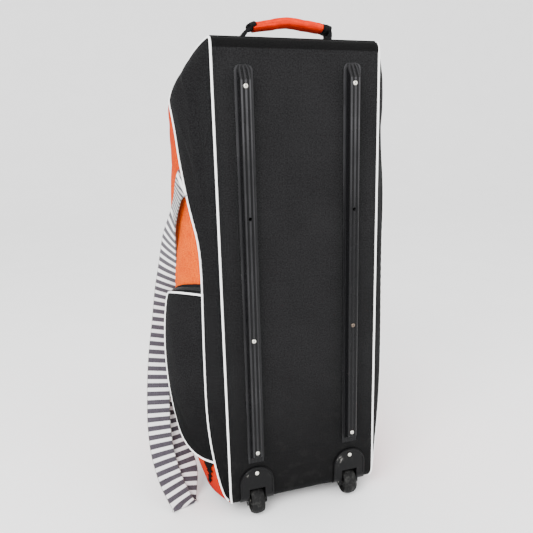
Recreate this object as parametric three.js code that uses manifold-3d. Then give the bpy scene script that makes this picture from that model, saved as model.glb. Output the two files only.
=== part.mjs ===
// A wheeled kit bag standing on its wheel end: a long soft bag on a stiff base panel with two
// skid rails, two wheels in moulded housings, a side pocket, a grab handle and a shoulder strap.
// The base panel faces -Y, +X is to its right and +Z runs from the wheel end to the handle end.
// Sizes are in millimetres. While the pieces are made, z = 0 is the base panel's bottom edge and
// y = 0 its front face. The finished group stands on z = 0 with its box centred on the z axis.
import * as THREE from "three";
import { mergeVertices } from "three/addons/utils/BufferGeometryUtils.js";
import Module from "manifold-3d";

const wasm = await Module();
wasm.setup();

// Driving dimensions
const LENGTH = 907; // base panel, bottom edge to top edge
const BASE_HALF = 160; // half the base panel's width
const FOLD_BOTTOM = 22; // radius of the base panel's fold at the wheel end
const FOLD_TOP = 16; // radius of its fold at the handle end
const END_SLOPE = 0.3; // fall of the handle end for each millimetre of depth
const TILT_FROM = 600; // height at which the sections start to lean into that fall
const FLOOR = -36; // the surface that the wheels stand on
const CLOTH = 2; // coated cloth with its foam backing
const BOARD = 3; // base panel, cloth over board
const WEB = 2.5; // strap webbing
const GAP = 0.4; // clearance between neighbouring pieces
const PIPING = 3; // piping radius
const SEAM = PIPING + 0.6; // cloth stops this far from a piping's centre line
const ZIP_HALF = 14.6; // half the width of the main zip's tape
const NEAR_SHARE = 0.35; // share of a section's parameter spent before its widest point
const FAR_POWER = 0.8; // squareness of the far half of a section
const END_CROWN = 12; // bulge of the handle end panel
const COVER_FOOT = 0.6; // height of the covers' bottom edge
const CORNER = { near: 0.57, far: 0.62 }; // shares of a section between which the corner covers lie
const CORNER_LOW = 56; // height at which the lowest corner cover ends
const CORNER_HIGH = 862; // height at which the highest one starts
const CORNER_GAP = 0.6; // half the gap around them, which narrows through the cloth's thickness
const GUSSET_TIP = 18; // height at which a side gusset starts
const SEAM_RISE = 0.3; // least rise of a slanting seam when its gap is widened
const PAST = 100; // how far a cutting block reaches past the piece that it cuts
const RAIL_X = 104; // rails, housings and wheels, from the middle
const WHEEL = { radius: 28, half: 14, y: 10, z: -8, bore: 3.4 };

// Body sections across the bag: z is the height at the base panel, half the widest half width,
// widest the depth at which it lies, and depth the reach to the far side.
const STATIONS = [
  { z: 0, half: 197, widest: 125, depth: 285 },
  { z: 60, half: 215, widest: 130, depth: 310 },
  { z: 200, half: 227, widest: 132, depth: 325 },
  { z: 450, half: 228, widest: 132, depth: 328 },
  { z: 700, half: 226, widest: 132, depth: 325 },
  { z: 800, half: 222, widest: 130, depth: 318 },
  { z: 865, half: 209, widest: 126, depth: 306 },
  { z: LENGTH, half: 186, widest: 122, depth: 288 },
];

// The curved seam between the black side gusset and the coloured cover: depth y at section z
const SWOOSH = [
  { z: 5, y: 8 },
  { z: 25, y: 18.5 },
  { z: 56, y: 26 },
  { z: 100, y: 31 },
  { z: 287, y: 32 },
  { z: 350, y: 31 },
  { z: 430, y: 25 },
  { z: 490, y: 26 },
  { z: 530, y: 31 },
  { z: 589, y: 43 },
  { z: 659, y: 58 },
  { z: 769, y: 85 },
  { z: 823, y: 102 },
  { z: 862, y: 130 },
  { z: LENGTH, y: 168 },
];

// Section heights at which the side walls have a row of vertices
const ROWS = [12, 30, 56, 100, 170, 250, 320, 370, 430, 490, 530, 589, 655, 725, 785, 830, 862, 888, 897];
const TOP_ROW = LENGTH - SEAM;
const TOP_FOLD_ROW = LENGTH - FOLD_TOP * (1 + END_SLOPE); // where the base panel's top fold starts

// The shoulder strap's middle line, with the turn of its width about the vertical and the tip of
// its width above level, in degrees: down the wall from its seam, down outside the pocket to the
// floor, and up again behind the pocket.
const STRAP = [
  { x: -215.5, y: 66, z: 655, turn: 25, tip: 74 },
  { x: -224, y: 88, z: 637, turn: 17, tip: 60 },
  { x: -230, y: 112, z: 612, turn: 8, tip: 50 },
  { x: -233, y: 136, z: 584, turn: 2, tip: 42 },
  { x: -234, y: 158, z: 556, turn: 4, tip: 33 },
  { x: -236, y: 176, z: 522, turn: 16, tip: 22 },
  { x: -243, y: 192, z: 482, turn: 38, tip: 13 },
  { x: -247, y: 198, z: 440, turn: 60, tip: 8 },
  { x: -253, y: 201, z: 395, turn: 72, tip: 4 },
  { x: -260, y: 200, z: 340, turn: 78, tip: 0 },
  { x: -268, y: 193, z: 280, turn: 80, tip: 0 },
  { x: -275, y: 181, z: 222, turn: 80, tip: 0 },
  { x: -281, y: 164, z: 165, turn: 80, tip: 0 },
  { x: -284, y: 145, z: 117, turn: 82, tip: 0 },
  { x: -282, y: 122, z: 70, turn: 86, tip: 0 },
  { x: -272, y: 95, z: 24, turn: 94, tip: 0 },
  { x: -259, y: 76, z: -9, turn: 104, tip: 0 },
  { x: -251.5, y: 67, z: -24, turn: 110, tip: 0 },
  { x: -247, y: 67, z: -32, turn: 110, tip: 0 },
  { x: -246, y: 74, z: -34.5, turn: 110, tip: 0 },
  { x: -245, y: 81, z: -31, turn: 110, tip: 0 },
  { x: -241, y: 89, z: -16, turn: 110, tip: 0 },
  { x: -236, y: 100, z: 8, turn: 108, tip: 0 },
  { x: -235, y: 114, z: 31, turn: 104, tip: 0 },
  { x: -245, y: 145, z: 76, turn: 100, tip: 0 },
  { x: -252, y: 168, z: 122, turn: 102, tip: 0 },
  { x: -250, y: 189, z: 165, turn: 116, tip: 0 },
  { x: -242, y: 203, z: 205, turn: 140, tip: 0 },
  { x: -231, y: 211, z: 245, turn: 155, tip: 0 },
  { x: -220, y: 212, z: 290, turn: 161, tip: 0 },
];
const STRAP_HALF = 25;

// The grab handle's right half, from the middle of the arch down to its foot
const HANDLE = [
  { x: 0, z: 940 },
  { x: 35, z: 938 },
  { x: 66, z: 931.6 },
  { x: 70, z: 930.3 },
  { x: 81, z: 924 },
  { x: 86.5, z: 914 },
  { x: 87, z: 904 },
];
const HANDLE_Y = 60;

// Materials
const finish = (color, roughness, metalness = 0) =>
  new THREE.MeshStandardMaterial({ color, roughness, metalness });
const blackCloth = finish(0x2b2a2f, 0.85);
const orangeCloth = finish(0xf0561f, 0.7);
const whitePiping = finish(0xe9e8e6, 0.45);
const blackPlastic = finish(0x1b1b1d, 0.4);
const blackRubber = finish(0x19191b, 0.6);
const steel = finish(0xd9d9d6, 0.3, 0.9);
const blackWebbing = finish(0x232327, 0.8);
const stripedWebbing = finish(0xb9b7bd, 0.75);

const bag = new THREE.Group();

// Solids
function signedVolume(geometry) {
  const position = geometry.attributes.position;
  const corner = [new THREE.Vector3(), new THREE.Vector3(), new THREE.Vector3()];
  let volume = 0;
  for (let i = 0; i < geometry.index.count; i += 3) {
    corner.forEach((point, k) => point.fromBufferAttribute(position, geometry.index.getX(i + k)));
    volume += corner[0].dot(corner[1].clone().cross(corner[2])) / 6;
  }
  return volume;
}

// One body with merged vertices and its faces pointing out
function closed(geometry) {
  const bare = new THREE.BufferGeometry();
  bare.setAttribute("position", geometry.attributes.position);
  bare.setIndex(geometry.index);
  const merged = mergeVertices(bare, 1e-4);
  if (signedVolume(merged) < 0) {
    merged.setIndex(Array.from(merged.index.array).reverse());
  }
  return merged;
}

function toSolid(geometry) {
  const whole = closed(geometry);
  const vertProperties = new Float32Array(whole.attributes.position.array);
  const triVerts = new Uint32Array(whole.index.array);
  return new wasm.Manifold(new wasm.Mesh({ numProp: 3, vertProperties, triVerts }));
}

function fromSolid(solid) {
  const mesh = solid.getMesh();
  const geometry = new THREE.BufferGeometry();
  geometry.setAttribute("position", new THREE.BufferAttribute(mesh.vertProperties, 3));
  geometry.setIndex(Array.from(mesh.triVerts));
  return geometry;
}

function cut(geometry, ...tools) {
  return fromSolid(tools.reduce((left, tool) => left.subtract(toSolid(tool)), toSolid(geometry)));
}

function join(geometry, ...others) {
  return fromSolid(others.reduce((sum, other) => sum.add(toSolid(other)), toSolid(geometry)));
}

function common(geometry, other) {
  return fromSolid(toSolid(geometry).intersect(toSolid(other)));
}

function add(name, geometry, material) {
  const mesh = new THREE.Mesh(closed(geometry), material);
  mesh.name = name;
  bag.add(mesh);
}

// The mirror image on the left of a piece made for the right side (+X)
function addMirrored(name, geometry, material) {
  add(name, geometry.clone().scale(-1, 1, 1), material);
}

// A piece made for the right side, and its mirror image for the left
function addPair(name, geometry, material) {
  add(`${name}_right`, geometry, material);
  addMirrored(`${name}_left`, geometry, material);
}

function box(x0, x1, y0, y1, z0, z1) {
  const geometry = new THREE.BoxGeometry(x1 - x0, y1 - y0, z1 - z0);
  return geometry.translate((x0 + x1) / 2, (y0 + y1) / 2, (z0 + z1) / 2);
}

// A cylinder along X through (y, z)
function rod(radius, half, y, z, sides) {
  const bar = new THREE.CylinderGeometry(radius, radius, 2 * half, sides);
  return bar.rotateZ(Math.PI / 2).translate(0, y, z);
}

// The solid between two grids of points with the same rows and columns
function slab(outer, inner) {
  const rows = outer.length;
  const columns = outer[0].length;
  const at = (layer, r, c) => (layer * rows + r) * columns + c;
  const index = [];
  const quad = (a, b, c, d) => index.push(a, b, c, a, c, d);
  const lastRow = rows - 1;
  const lastColumn = columns - 1;
  for (let r = 0; r < lastRow; r += 1) {
    for (let c = 0; c < lastColumn; c += 1) {
      quad(at(0, r, c), at(0, r, c + 1), at(0, r + 1, c + 1), at(0, r + 1, c));
      quad(at(1, r, c), at(1, r + 1, c), at(1, r + 1, c + 1), at(1, r, c + 1));
    }
    quad(at(0, r, 0), at(0, r + 1, 0), at(1, r + 1, 0), at(1, r, 0));
    quad(at(0, r + 1, lastColumn), at(0, r, lastColumn), at(1, r, lastColumn), at(1, r + 1, lastColumn));
  }
  for (let c = 0; c < lastColumn; c += 1) {
    quad(at(0, 0, c + 1), at(0, 0, c), at(1, 0, c), at(1, 0, c + 1));
    quad(at(0, lastRow, c), at(0, lastRow, c + 1), at(1, lastRow, c + 1), at(1, lastRow, c));
  }
  const geometry = new THREE.BufferGeometry();
  geometry.setFromPoints([...outer.flat(), ...inner.flat()]);
  geometry.setIndex(index);
  return geometry;
}

// The grid moved along its own normals, which point along (rows) x (columns)
function offset(grid, distance) {
  const last = [grid.length - 1, grid[0].length - 1];
  return grid.map((row, r) =>
    row.map((point, c) => {
      const down = grid[Math.min(r + 1, last[0])][c].clone().sub(grid[Math.max(r - 1, 0)][c]);
      const across = row[Math.min(c + 1, last[1])].clone().sub(row[Math.max(c - 1, 0)]);
      return point.clone().addScaledVector(down.cross(across).normalize(), distance);
    }),
  );
}

const steps = (count, from, to) =>
  Array.from({ length: count + 1 }, (_, i) => from + ((to - from) * i) / count);

// A path whose stations are its own points, so that long straight runs need no extra steps
class Route extends THREE.Curve {
  constructor(points) {
    super();
    this.points = points;
  }

  getPoint(t, target = new THREE.Vector3()) {
    const last = this.points.length - 1;
    const place = Math.min(Math.max(t, 0), 1) * last;
    const i = Math.min(Math.floor(place), last - 1);
    return target.lerpVectors(this.points[i], this.points[i + 1], place - i);
  }

  getUtoTmapping(u) {
    return u;
  }
}

function sweep(shape, points) {
  const options = { steps: points.length - 1, extrudePath: new Route(points), bevelEnabled: false };
  return new THREE.ExtrudeGeometry(shape, options);
}

const ring = (radiusX, radiusY, sides) =>
  new THREE.Shape(
    steps(sides - 1, 0, 2 * Math.PI * (1 - 1 / sides)).map(
      (angle) => new THREE.Vector2(radiusX * Math.cos(angle), radiusY * Math.sin(angle)),
    ),
  );

const piping = (points) => sweep(ring(PIPING, PIPING, 6), points);

// The body's surface
const stationFit = new THREE.CubicInterpolant(
  STATIONS.map((row) => row.z),
  STATIONS.flatMap((row) => [row.half, row.widest, row.depth]),
  3,
);
const swooshFit = new THREE.CubicInterpolant(
  SWOOSH.map((row) => row.z),
  SWOOSH.map((row) => row.y),
  1,
);
const swooshDepth = (z) => swooshFit.evaluate(THREE.MathUtils.clamp(z, SWOOSH[0].z, LENGTH))[0];
const tilt = (z) => -END_SLOPE * THREE.MathUtils.smoothstep(z, TILT_FROM, LENGTH);

// Depth of the base panel's front face at a section, with its two folds
function frontDepth(z) {
  if (z < FOLD_BOTTOM) {
    return FOLD_BOTTOM - Math.sqrt(FOLD_BOTTOM ** 2 - (FOLD_BOTTOM - z) ** 2);
  }
  const above = THREE.MathUtils.clamp((z - TOP_FOLD_ROW) / (LENGTH - TOP_FOLD_ROW), 0, 1);
  return FOLD_TOP * (1 - Math.sqrt(1 - above ** 2));
}

// One section: from the base corner out to the widest point on an ellipse, then round the far
// side on a squarer one
function section(z) {
  const [half, widest, depth] = stationFit.evaluate(z);
  const start = Math.asin(BASE_HALF / half);
  return { half, widest, depth, start, near: (widest - frontDepth(z)) / Math.cos(start) };
}

function wallPoint(z, share) {
  const s = section(z);
  const flat = new THREE.Vector2();
  if (share < NEAR_SHARE) {
    const angle = s.start + (Math.PI / 2 - s.start) * (share / NEAR_SHARE);
    flat.set(s.half * Math.sin(angle), s.widest - s.near * Math.cos(angle));
  } else {
    const angle = (Math.PI / 2) * ((share - NEAR_SHARE) / (1 - NEAR_SHARE));
    const across = Math.max(Math.cos(angle), 0) ** FAR_POWER;
    flat.set(s.half * across, s.widest + (s.depth - s.widest) * Math.sin(angle) ** FAR_POWER);
  }
  return new THREE.Vector3(flat.x, flat.y, z + tilt(z) * flat.y);
}

function shareAtDepth(z, y) {
  const s = section(z);
  if (y < s.widest) {
    const angle = Math.acos(THREE.MathUtils.clamp((s.widest - y) / s.near, 0, 1));
    return (NEAR_SHARE * Math.max(angle - s.start, 0)) / (Math.PI / 2 - s.start);
  }
  const angle = Math.asin(((y - s.widest) / (s.depth - s.widest)) ** (1 / FAR_POWER));
  return NEAR_SHARE + (1 - NEAR_SHARE) * (angle / (Math.PI / 2));
}

function shareAtHalfWidth(z, x) {
  const angle = Math.acos((x / section(z).half) ** (1 / FAR_POWER));
  return NEAR_SHARE + (1 - NEAR_SHARE) * (angle / (Math.PI / 2));
}

// The share that lies a distance further round the section
function shareBeyond(z, share, distance) {
  const nudge = 0.01;
  const speed = wallPoint(z, share).distanceTo(wallPoint(z, share + nudge)) / nudge;
  return share + distance / speed;
}

// How much wider a gap across the section is where the seam runs aslant
function seamSlant(z) {
  const nudge = 1;
  const here = wallPoint(z, shareAtDepth(z, swooshDepth(z)));
  const there = wallPoint(z + nudge, shareAtDepth(z + nudge, swooshDepth(z + nudge)));
  const along = there.sub(here).normalize();
  return 1 / Math.max(along.z, SEAM_RISE);
}

const swooshShare = (z) => shareAtDepth(z, swooshDepth(z));
const swooshPoint = (z) => wallPoint(z, swooshShare(z));

// A point of the right wall at depth y and height z, moved out along the wall's normal
function onWall(y, z, lift) {
  const share = shareAtDepth(z, y);
  const nudge = 0.004;
  const point = wallPoint(z, share);
  const across = wallPoint(z, share + nudge).sub(wallPoint(z, share - nudge));
  const up = wallPoint(z + 1, shareAtDepth(z + 1, y)).sub(point);
  return point.addScaledVector(across.cross(up).normalize(), lift);
}

const wallGrid = (heights, columns, from, to) =>
  heights.map((z) => steps(columns, from(z), to(z)).map((share) => wallPoint(z, share)));

// Base panel: board covered in cloth, folded at both ends
const FOLD_STEPS = [0.42, 0.74, 0.92]; // where a fold's arc has rows, as shares of its rise
const bottomFold = FOLD_STEPS.map((share) => FOLD_BOTTOM * (1 - share)).reverse();
const topFold = FOLD_STEPS.map((share) => THREE.MathUtils.lerp(TOP_FOLD_ROW, LENGTH, share));
const baseRows = [0, ...bottomFold, FOLD_BOTTOM, TOP_FOLD_ROW, ...topFold, LENGTH];
const baseEdge = BASE_HALF - SEAM;
const baseOuter = baseRows.map((z) =>
  [baseEdge, -baseEdge].map((x) => {
    const y = frontDepth(z);
    return new THREE.Vector3(x, y, z + tilt(z) * y);
  }),
);
const WELL = { half: 20, radius: 36, wall: 3, cavity: 32 };
const wellCut = (x) =>
  box(x - WELL.half - GAP, x + WELL.half + GAP, -1, 2 * FOLD_BOTTOM, -1, WHEEL.z + WELL.radius + GAP);
const basePanel = slab(baseOuter, offset(baseOuter, -BOARD));
add("base_panel", cut(basePanel, wellCut(RAIL_X), wellCut(-RAIL_X)), blackCloth);

// Side gussets and covers, which meet along the curved seam
const rimShare = (z) => shareBeyond(z, 0, SEAM * (1 + frontDepth(z) / FOLD_TOP));
const gussetRows = [GUSSET_TIP, ...ROWS.filter((z) => z > GUSSET_TIP), TOP_ROW];
const gussetGrid = wallGrid(
  gussetRows,
  3,
  rimShare,
  (z) => shareBeyond(z, swooshShare(z), -SEAM * seamSlant(z)),
);
addPair("side_gusset", slab(gussetGrid, offset(gussetGrid, CLOTH)), blackCloth);

const coverRows = [COVER_FOOT, ...ROWS, TOP_ROW];
const coverGrid = wallGrid(
  coverRows,
  6,
  (z) => Math.max(shareBeyond(z, swooshShare(z), SEAM * seamSlant(z)), rimShare(z)),
  (z) => shareBeyond(z, CORNER.near, -CORNER_GAP),
);
addPair("cover", slab(coverGrid, offset(coverGrid, CLOTH)), orangeCloth);

// Corner covers round the far corner, in three lengths
const CORNER_LENGTHS = [
  { name: "corner_cover_low", from: COVER_FOOT, to: CORNER_LOW - CORNER_GAP },
  { name: "corner_cover", from: CORNER_LOW + CORNER_GAP, to: CORNER_HIGH - CORNER_GAP },
  { name: "corner_cover_high", from: CORNER_HIGH + CORNER_GAP, to: TOP_ROW },
];
for (const { name, from, to } of CORNER_LENGTHS) {
  const cornerGrid = wallGrid(
    [from, ...ROWS.filter((z) => z > from && z < to), to],
    1,
    (z) => shareBeyond(z, CORNER.near, CORNER_GAP),
    (z) => shareBeyond(z, CORNER.far, -CORNER_GAP),
  );
  addPair(name, slab(cornerGrid, offset(cornerGrid, CLOTH)), orangeCloth);
}

// Far covers from there to the main zip
const farGrid = wallGrid(
  coverRows,
  4,
  (z) => shareBeyond(z, CORNER.far, CORNER_GAP),
  (z) => shareAtHalfWidth(z, ZIP_HALF + GAP),
);
addPair("far_cover", slab(farGrid, offset(farGrid, CLOTH)), orangeCloth);

// Main zip down the far side: a tape with a raised chain
const ZIP_PROFILE = [
  { x: ZIP_HALF, rise: 0 },
  { x: 4.5, rise: 0 },
  { x: 3.5, rise: 2 },
  { x: -3.5, rise: 2 },
  { x: -4.5, rise: 0 },
  { x: -ZIP_HALF, rise: 0 },
];
const zipGrid = (rise) =>
  [COVER_FOOT, ...ROWS.filter((z, i) => i % 2 === 0), TOP_ROW].map((z) =>
    ZIP_PROFILE.map((row) => {
      const point = wallPoint(z, shareAtHalfWidth(z, Math.abs(row.x)));
      return new THREE.Vector3(row.x, point.y + rise(row), point.z);
    }),
  );
const mainZip = slab(
  zipGrid((row) => row.rise),
  zipGrid(() => -CLOTH),
);
add("main_zip", mainZip, blackWebbing);

// Piping round the base panel's edge and on along the handle end's seam
const rimPath = [
  ...[0.2, ...bottomFold, FOLD_BOTTOM, 300, 600, TOP_FOLD_ROW, ...topFold].map((z) => wallPoint(z, 0)),
  ...steps(16, 0, shareAtHalfWidth(LENGTH, GAP)).map((share) => wallPoint(LENGTH, share)),
];
addPair("rim_piping", piping(rimPath), whitePiping);

// Piping in the curved seam, from the tip beside the wheel end to the handle end
const swooshPath = [11, ...gussetRows.slice(0, -1), TOP_ROW - PIPING].map(swooshPoint);
addPair("swoosh_piping", piping(swooshPath), whitePiping);

// End panels: rings that shrink from the end's outline to its middle
function outline(z, inset, front, middle) {
  const round = steps(14, 0, 1).map((share) => wallPoint(z, share));
  const side = round.map((point) => {
    const inward = middle.clone().sub(point).setZ(0).normalize();
    return point.clone().addScaledVector(inward, inset);
  });
  side[0].set(side[0].x - GAP, front, side[0].z);
  const mirror = side.slice(0, -1).reverse();
  const left = mirror.map((point) => new THREE.Vector3(-point.x, point.y, point.z));
  const edge = steps(6, -side[0].x, side[0].x).slice(1, -1);
  return [...side, ...left, ...edge.map((x) => new THREE.Vector3(x, front, side[0].z))];
}

// Share of the way from the middle to the outline at which a point lies
function reach(loop, middle, x, y) {
  const aim = new THREE.Vector2(x - middle.x, y - middle.y);
  const shares = loop.map((start, i) => {
    const end = loop[(i + 1) % loop.length];
    const side = new THREE.Vector2(end.x - start.x, end.y - start.y);
    const from = new THREE.Vector2(start.x - middle.x, start.y - middle.y);
    const along = aim.cross(side);
    const ahead = from.cross(side) / along;
    const beside = from.cross(aim) / along;
    return beside >= 0 && beside <= 1 && ahead > 0 ? 1 / ahead : 0;
  });
  return Math.max(...shares);
}

// A lid over the outline: height(share, point) gives its surface, thick the way inwards
function lid(loop, middle, shares, height, thick) {
  const layer = (drop) =>
    shares.map((share) =>
      loop.map((point) => {
        const flat = middle.clone().lerp(point, share);
        return flat.setZ(height(share, flat) + drop);
      }),
    );
  const top = layer(0);
  const under = layer(thick);
  const count = loop.length;
  const points = [...top.flat(), ...under.flat()];
  const peak = middle.clone().setZ(height(0, middle));
  points.push(peak, peak.clone().setZ(peak.z + thick));
  const at = (side, r, c) => (side * shares.length + r) * count + (c % count);
  const index = [];
  const quad = (a, b, c, d) => index.push(a, b, c, a, c, d);
  const last = shares.length - 1;
  for (let c = 0; c < count; c += 1) {
    for (let r = 0; r < last; r += 1) {
      quad(at(0, r, c), at(0, r, c + 1), at(0, r + 1, c + 1), at(0, r + 1, c));
      quad(at(1, r, c), at(1, r + 1, c), at(1, r + 1, c + 1), at(1, r, c + 1));
    }
    quad(at(0, 0, c + 1), at(0, 0, c), at(1, 0, c), at(1, 0, c + 1));
    index.push(at(0, last, c), at(0, last, c + 1), points.length - 2);
    index.push(at(1, last, c + 1), at(1, last, c), points.length - 1);
  }
  const geometry = new THREE.BufferGeometry();
  geometry.setFromPoints(points);
  geometry.setIndex(index);
  return geometry;
}

const TOP_MIDDLE = 150; // depth of the handle end's middle
const topMiddle = new THREE.Vector3(0, TOP_MIDDLE, LENGTH - END_SLOPE * TOP_MIDDLE);
const topLoop = outline(LENGTH, SEAM, FOLD_TOP + GAP, topMiddle);
const topHeight = (share, point) => LENGTH - END_SLOPE * point.y + END_CROWN * (1 - share ** 2);
add("handle_end_panel", lid(topLoop, topMiddle, [1, 0.8, 0.5], topHeight, -CLOTH), blackCloth);

// The wheel end sags to a flat patch on the floor behind the wheels
const PATCH = 0.45;
const endMiddle = new THREE.Vector3(0, 190, 0);
const endLoop = outline(0, 0, FOLD_BOTTOM + GAP, endMiddle);
const endHeight = (share) => {
  const fall = (1 + Math.cos((Math.PI * Math.max(share - PATCH, 0)) / (1 - PATCH))) / 2;
  return -CLOTH + (FLOOR + CLOTH) * fall;
};
const HOUSING = { half: 36, top: 76, slot: 27, foot: -8, front: -5, back: 52, plate: 4.6, corner: 20 };
const housingReach = HOUSING.half + GAP;
const housingCut = (x) =>
  box(x - housingReach, x + housingReach, 0, HOUSING.back + GAP, -PAST, FOLD_BOTTOM);
const wheelEnd = lid(endLoop, endMiddle, [1, 0.9, 0.78, 0.64, PATCH], endHeight, CLOTH);
add("wheel_end_panel", cut(wheelEnd, housingCut(RAIL_X), housingCut(-RAIL_X)), blackCloth);

// Side pocket on the left: a face that stands off the wall at its far edge, and a gusset back to
// the wall
const POCKET = { near: 5.2, wide: 112, low: 84, lowRise: 98, high: 441, highFall: 29, lift: 24 };
const POCKET_FOOT = { top: 26, topFall: 12, far: 13, low: 10 };
const pocketEdge = 2.6; // lift of the face where it starts at the seam
function pocketFlat(u, v) {
  const low = POCKET.low + POCKET.lowRise * u ** 1.2;
  const high = POCKET.high - POCKET.highFall * u ** 2;
  const z = THREE.MathUtils.lerp(low, high, v);
  return new THREE.Vector2(swooshDepth(z) + POCKET.near + POCKET.wide * u, z);
}
const pocketLift = (u, v) =>
  pocketEdge + POCKET.lift * Math.sin((u * Math.PI) / 2) * (0.8 + 0.2 * Math.sin(Math.PI * v));
function pocketPoint(u, v) {
  const flat = pocketFlat(u, v);
  return onWall(flat.x, flat.y, pocketLift(u, v));
}
const pocketLeast = { wide: 98, tall: 200 }; // the face at its narrowest and shortest
const edgeShare = { u: SEAM / pocketLeast.wide, v: SEAM / pocketLeast.tall };
const faceGrid = steps(8, edgeShare.v, 1 - edgeShare.v).map((v) =>
  steps(6, 0, 1 - edgeShare.u).map((u) => pocketPoint(u, v)),
);
addMirrored("pocket_face", slab(faceGrid, offset(faceGrid, CLOTH)), blackCloth);

// The pocket's outline, near top to far top, down the far edge, and back along the bottom
const topFoot = (u) => POCKET_FOOT.top - POCKET_FOOT.topFall * u;
const pocketRim = [
  ...steps(7, 0, 0.955).map((u) => ({ u, v: 1, out: [0, 1], foot: topFoot(u) })),
  { u: 0.992, v: 0.994, out: [0.7, 0.7], foot: POCKET_FOOT.far },
  ...steps(6, 0.975, 0.04).map((v) => ({ u: 1, v, out: [1, 0], foot: POCKET_FOOT.far })),
  { u: 1, v: 0, out: [0.85, -0.5], foot: POCKET_FOOT.low },
  ...steps(6, 0.95, 0).map((u) => ({ u, v: 0, out: [0.6, -0.8], foot: POCKET_FOOT.low })),
];
const pocketPath = pocketRim.map((row) => pocketPoint(row.u, row.v));
addMirrored("pocket_piping", piping(pocketPath), whitePiping);

// Gusset surface: from beside the piping (0) down to the wall (1). Near the seam it starts beside
// the piping, and from FULL_DROP of the way out it starts below it.
const FULL_DROP = 0.625;
const BELOW_PIPING = 0.4; // share of the seam gap that is left between piping and gusset there
function gussetPoint(row, share) {
  const flat = pocketFlat(row.u, row.v);
  const drop = Math.min(row.u / FULL_DROP, 1);
  const from = GAP + SEAM * THREE.MathUtils.lerp(1, BELOW_PIPING, drop);
  const run = THREE.MathUtils.lerp(from, row.foot, share);
  const top = pocketLift(row.u, row.v) - SEAM * drop;
  const lift = Math.max(THREE.MathUtils.lerp(top, pocketEdge, share), pocketEdge);
  return onWall(flat.x + row.out[0] * run, flat.y + row.out[1] * run, lift);
}
const pocketGusset = pocketRim.map((row) => [0, 0.5, 1].map((share) => gussetPoint(row, share)));
addMirrored("pocket_gusset", slab(pocketGusset, offset(pocketGusset, -CLOTH)), blackCloth);

// The pocket's zip lies along the top of its gusset
const zipRows = pocketRim.filter((row) => row.v === 1);
const zipRun = zipRows.map((row) => [0.38, 0.62].map((share) => gussetPoint(row, share)));
addMirrored("pocket_zip", slab(offset(zipRun, GAP), offset(zipRun, GAP + CLOTH)), blackWebbing);

// Skid rails: a flange with a grooved ridge, ramped at both ends
const RAIL = { half: 17, bottom: 88, top: 860, flange: 3, ridge: 18, groove: 1.4, corner: 12 };
const RAMPS = [
  { foot: 857, head: 832, beyond: 900 },
  { foot: 99, head: 109, beyond: 60 },
];
const RIVETS = [822, 355, 117]; // heights along the rail
const EMPTY_HOLE = { z: 590, radius: 3.4 };
const RIVET = { head: 4.8, shank: 2.3, long: 10, dome: 2.2 };
const RIVET_SEAT = RAIL.groove + GAP; // depth of the flat seat cut into the ridge for a head

// Outlines in y and z carried along X, and in x and z carried along Y
function alongX(shape, x0, x1) {
  const bar = new THREE.ExtrudeGeometry(shape, { depth: x1 - x0, bevelEnabled: false, curveSegments: 6 });
  return bar.rotateX(Math.PI / 2).rotateZ(Math.PI / 2).translate(x0, 0, 0);
}

function alongY(shape, y0, y1) {
  const bar = new THREE.ExtrudeGeometry(shape, { depth: y1 - y0, bevelEnabled: false, curveSegments: 8 });
  return bar.rotateX(Math.PI / 2).translate(0, y1, 0);
}

// A plate outline with round top corners
function arch(half, bottom, top, radius) {
  const shape = new THREE.Shape();
  shape.moveTo(-half, bottom).lineTo(half, bottom).lineTo(half, top - radius);
  shape.absarc(half - radius, top - radius, radius, 0, Math.PI / 2);
  shape.absarc(radius - half, top - radius, radius, Math.PI / 2, Math.PI);
  return shape;
}

// A round hole along Y
function bore(radius, z, y0, y1) {
  return new THREE.CylinderGeometry(radius, radius, y1 - y0, 10).translate(0, (y0 + y1) / 2, z);
}

// What lies outside a slope from the flange's face at foot to the ridge's top at head
function rampCut({ foot, head, beyond }) {
  const lean = (head - foot) / (RAIL.ridge - RAIL.flange);
  const out = 2 * RAIL.ridge;
  const shape = new THREE.Shape([
    new THREE.Vector2(-RAIL.flange, foot),
    new THREE.Vector2(-RAIL.flange, beyond),
    new THREE.Vector2(-out, beyond),
    new THREE.Vector2(-out, foot + lean * (out - RAIL.flange)),
  ]);
  return alongX(shape, -2 * RAIL.half, 2 * RAIL.half);
}

const railSide = [
  [RAIL.half, GAP],
  [RAIL.half, RAIL.flange],
  [12, RAIL.flange],
  [9.5, RAIL.ridge - 1],
  [8.5, RAIL.ridge],
  [6, RAIL.ridge],
  [5, RAIL.ridge - RAIL.groove],
  [3, RAIL.ridge - RAIL.groove],
  [2, RAIL.ridge],
];
const railProfile = [...railSide, ...railSide.map(([x, y]) => [-x, y]).reverse()];
const railShape = new THREE.Shape(railProfile.map(([x, y]) => new THREE.Vector2(x, -y)));
const railLength = { depth: RAIL.top - RAIL.bottom, bevelEnabled: false };
const railBar = new THREE.ExtrudeGeometry(railShape, railLength).translate(0, 0, RAIL.bottom);
const railOutline = alongY(arch(RAIL.half, RAIL.bottom - 1, RAIL.top, RAIL.corner), -PAST, PAST);
const seatDepth = RIVET_SEAT - RAIL.ridge;
const rail = cut(
  common(railBar, railOutline),
  ...RAMPS.map(rampCut),
  ...RIVETS.map((z) => bore(RIVET.head + GAP, z, -2 * RAIL.ridge, seatDepth)),
  ...RIVETS.map((z) => bore(RIVET.shank + GAP, z, seatDepth - 1, 1)),
  bore(EMPTY_HOLE.radius, EMPTY_HOLE.z, -2 * RAIL.ridge, 1),
);
addPair("skid_rail", rail.translate(RAIL_X, 0, 0), blackPlastic);

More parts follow.
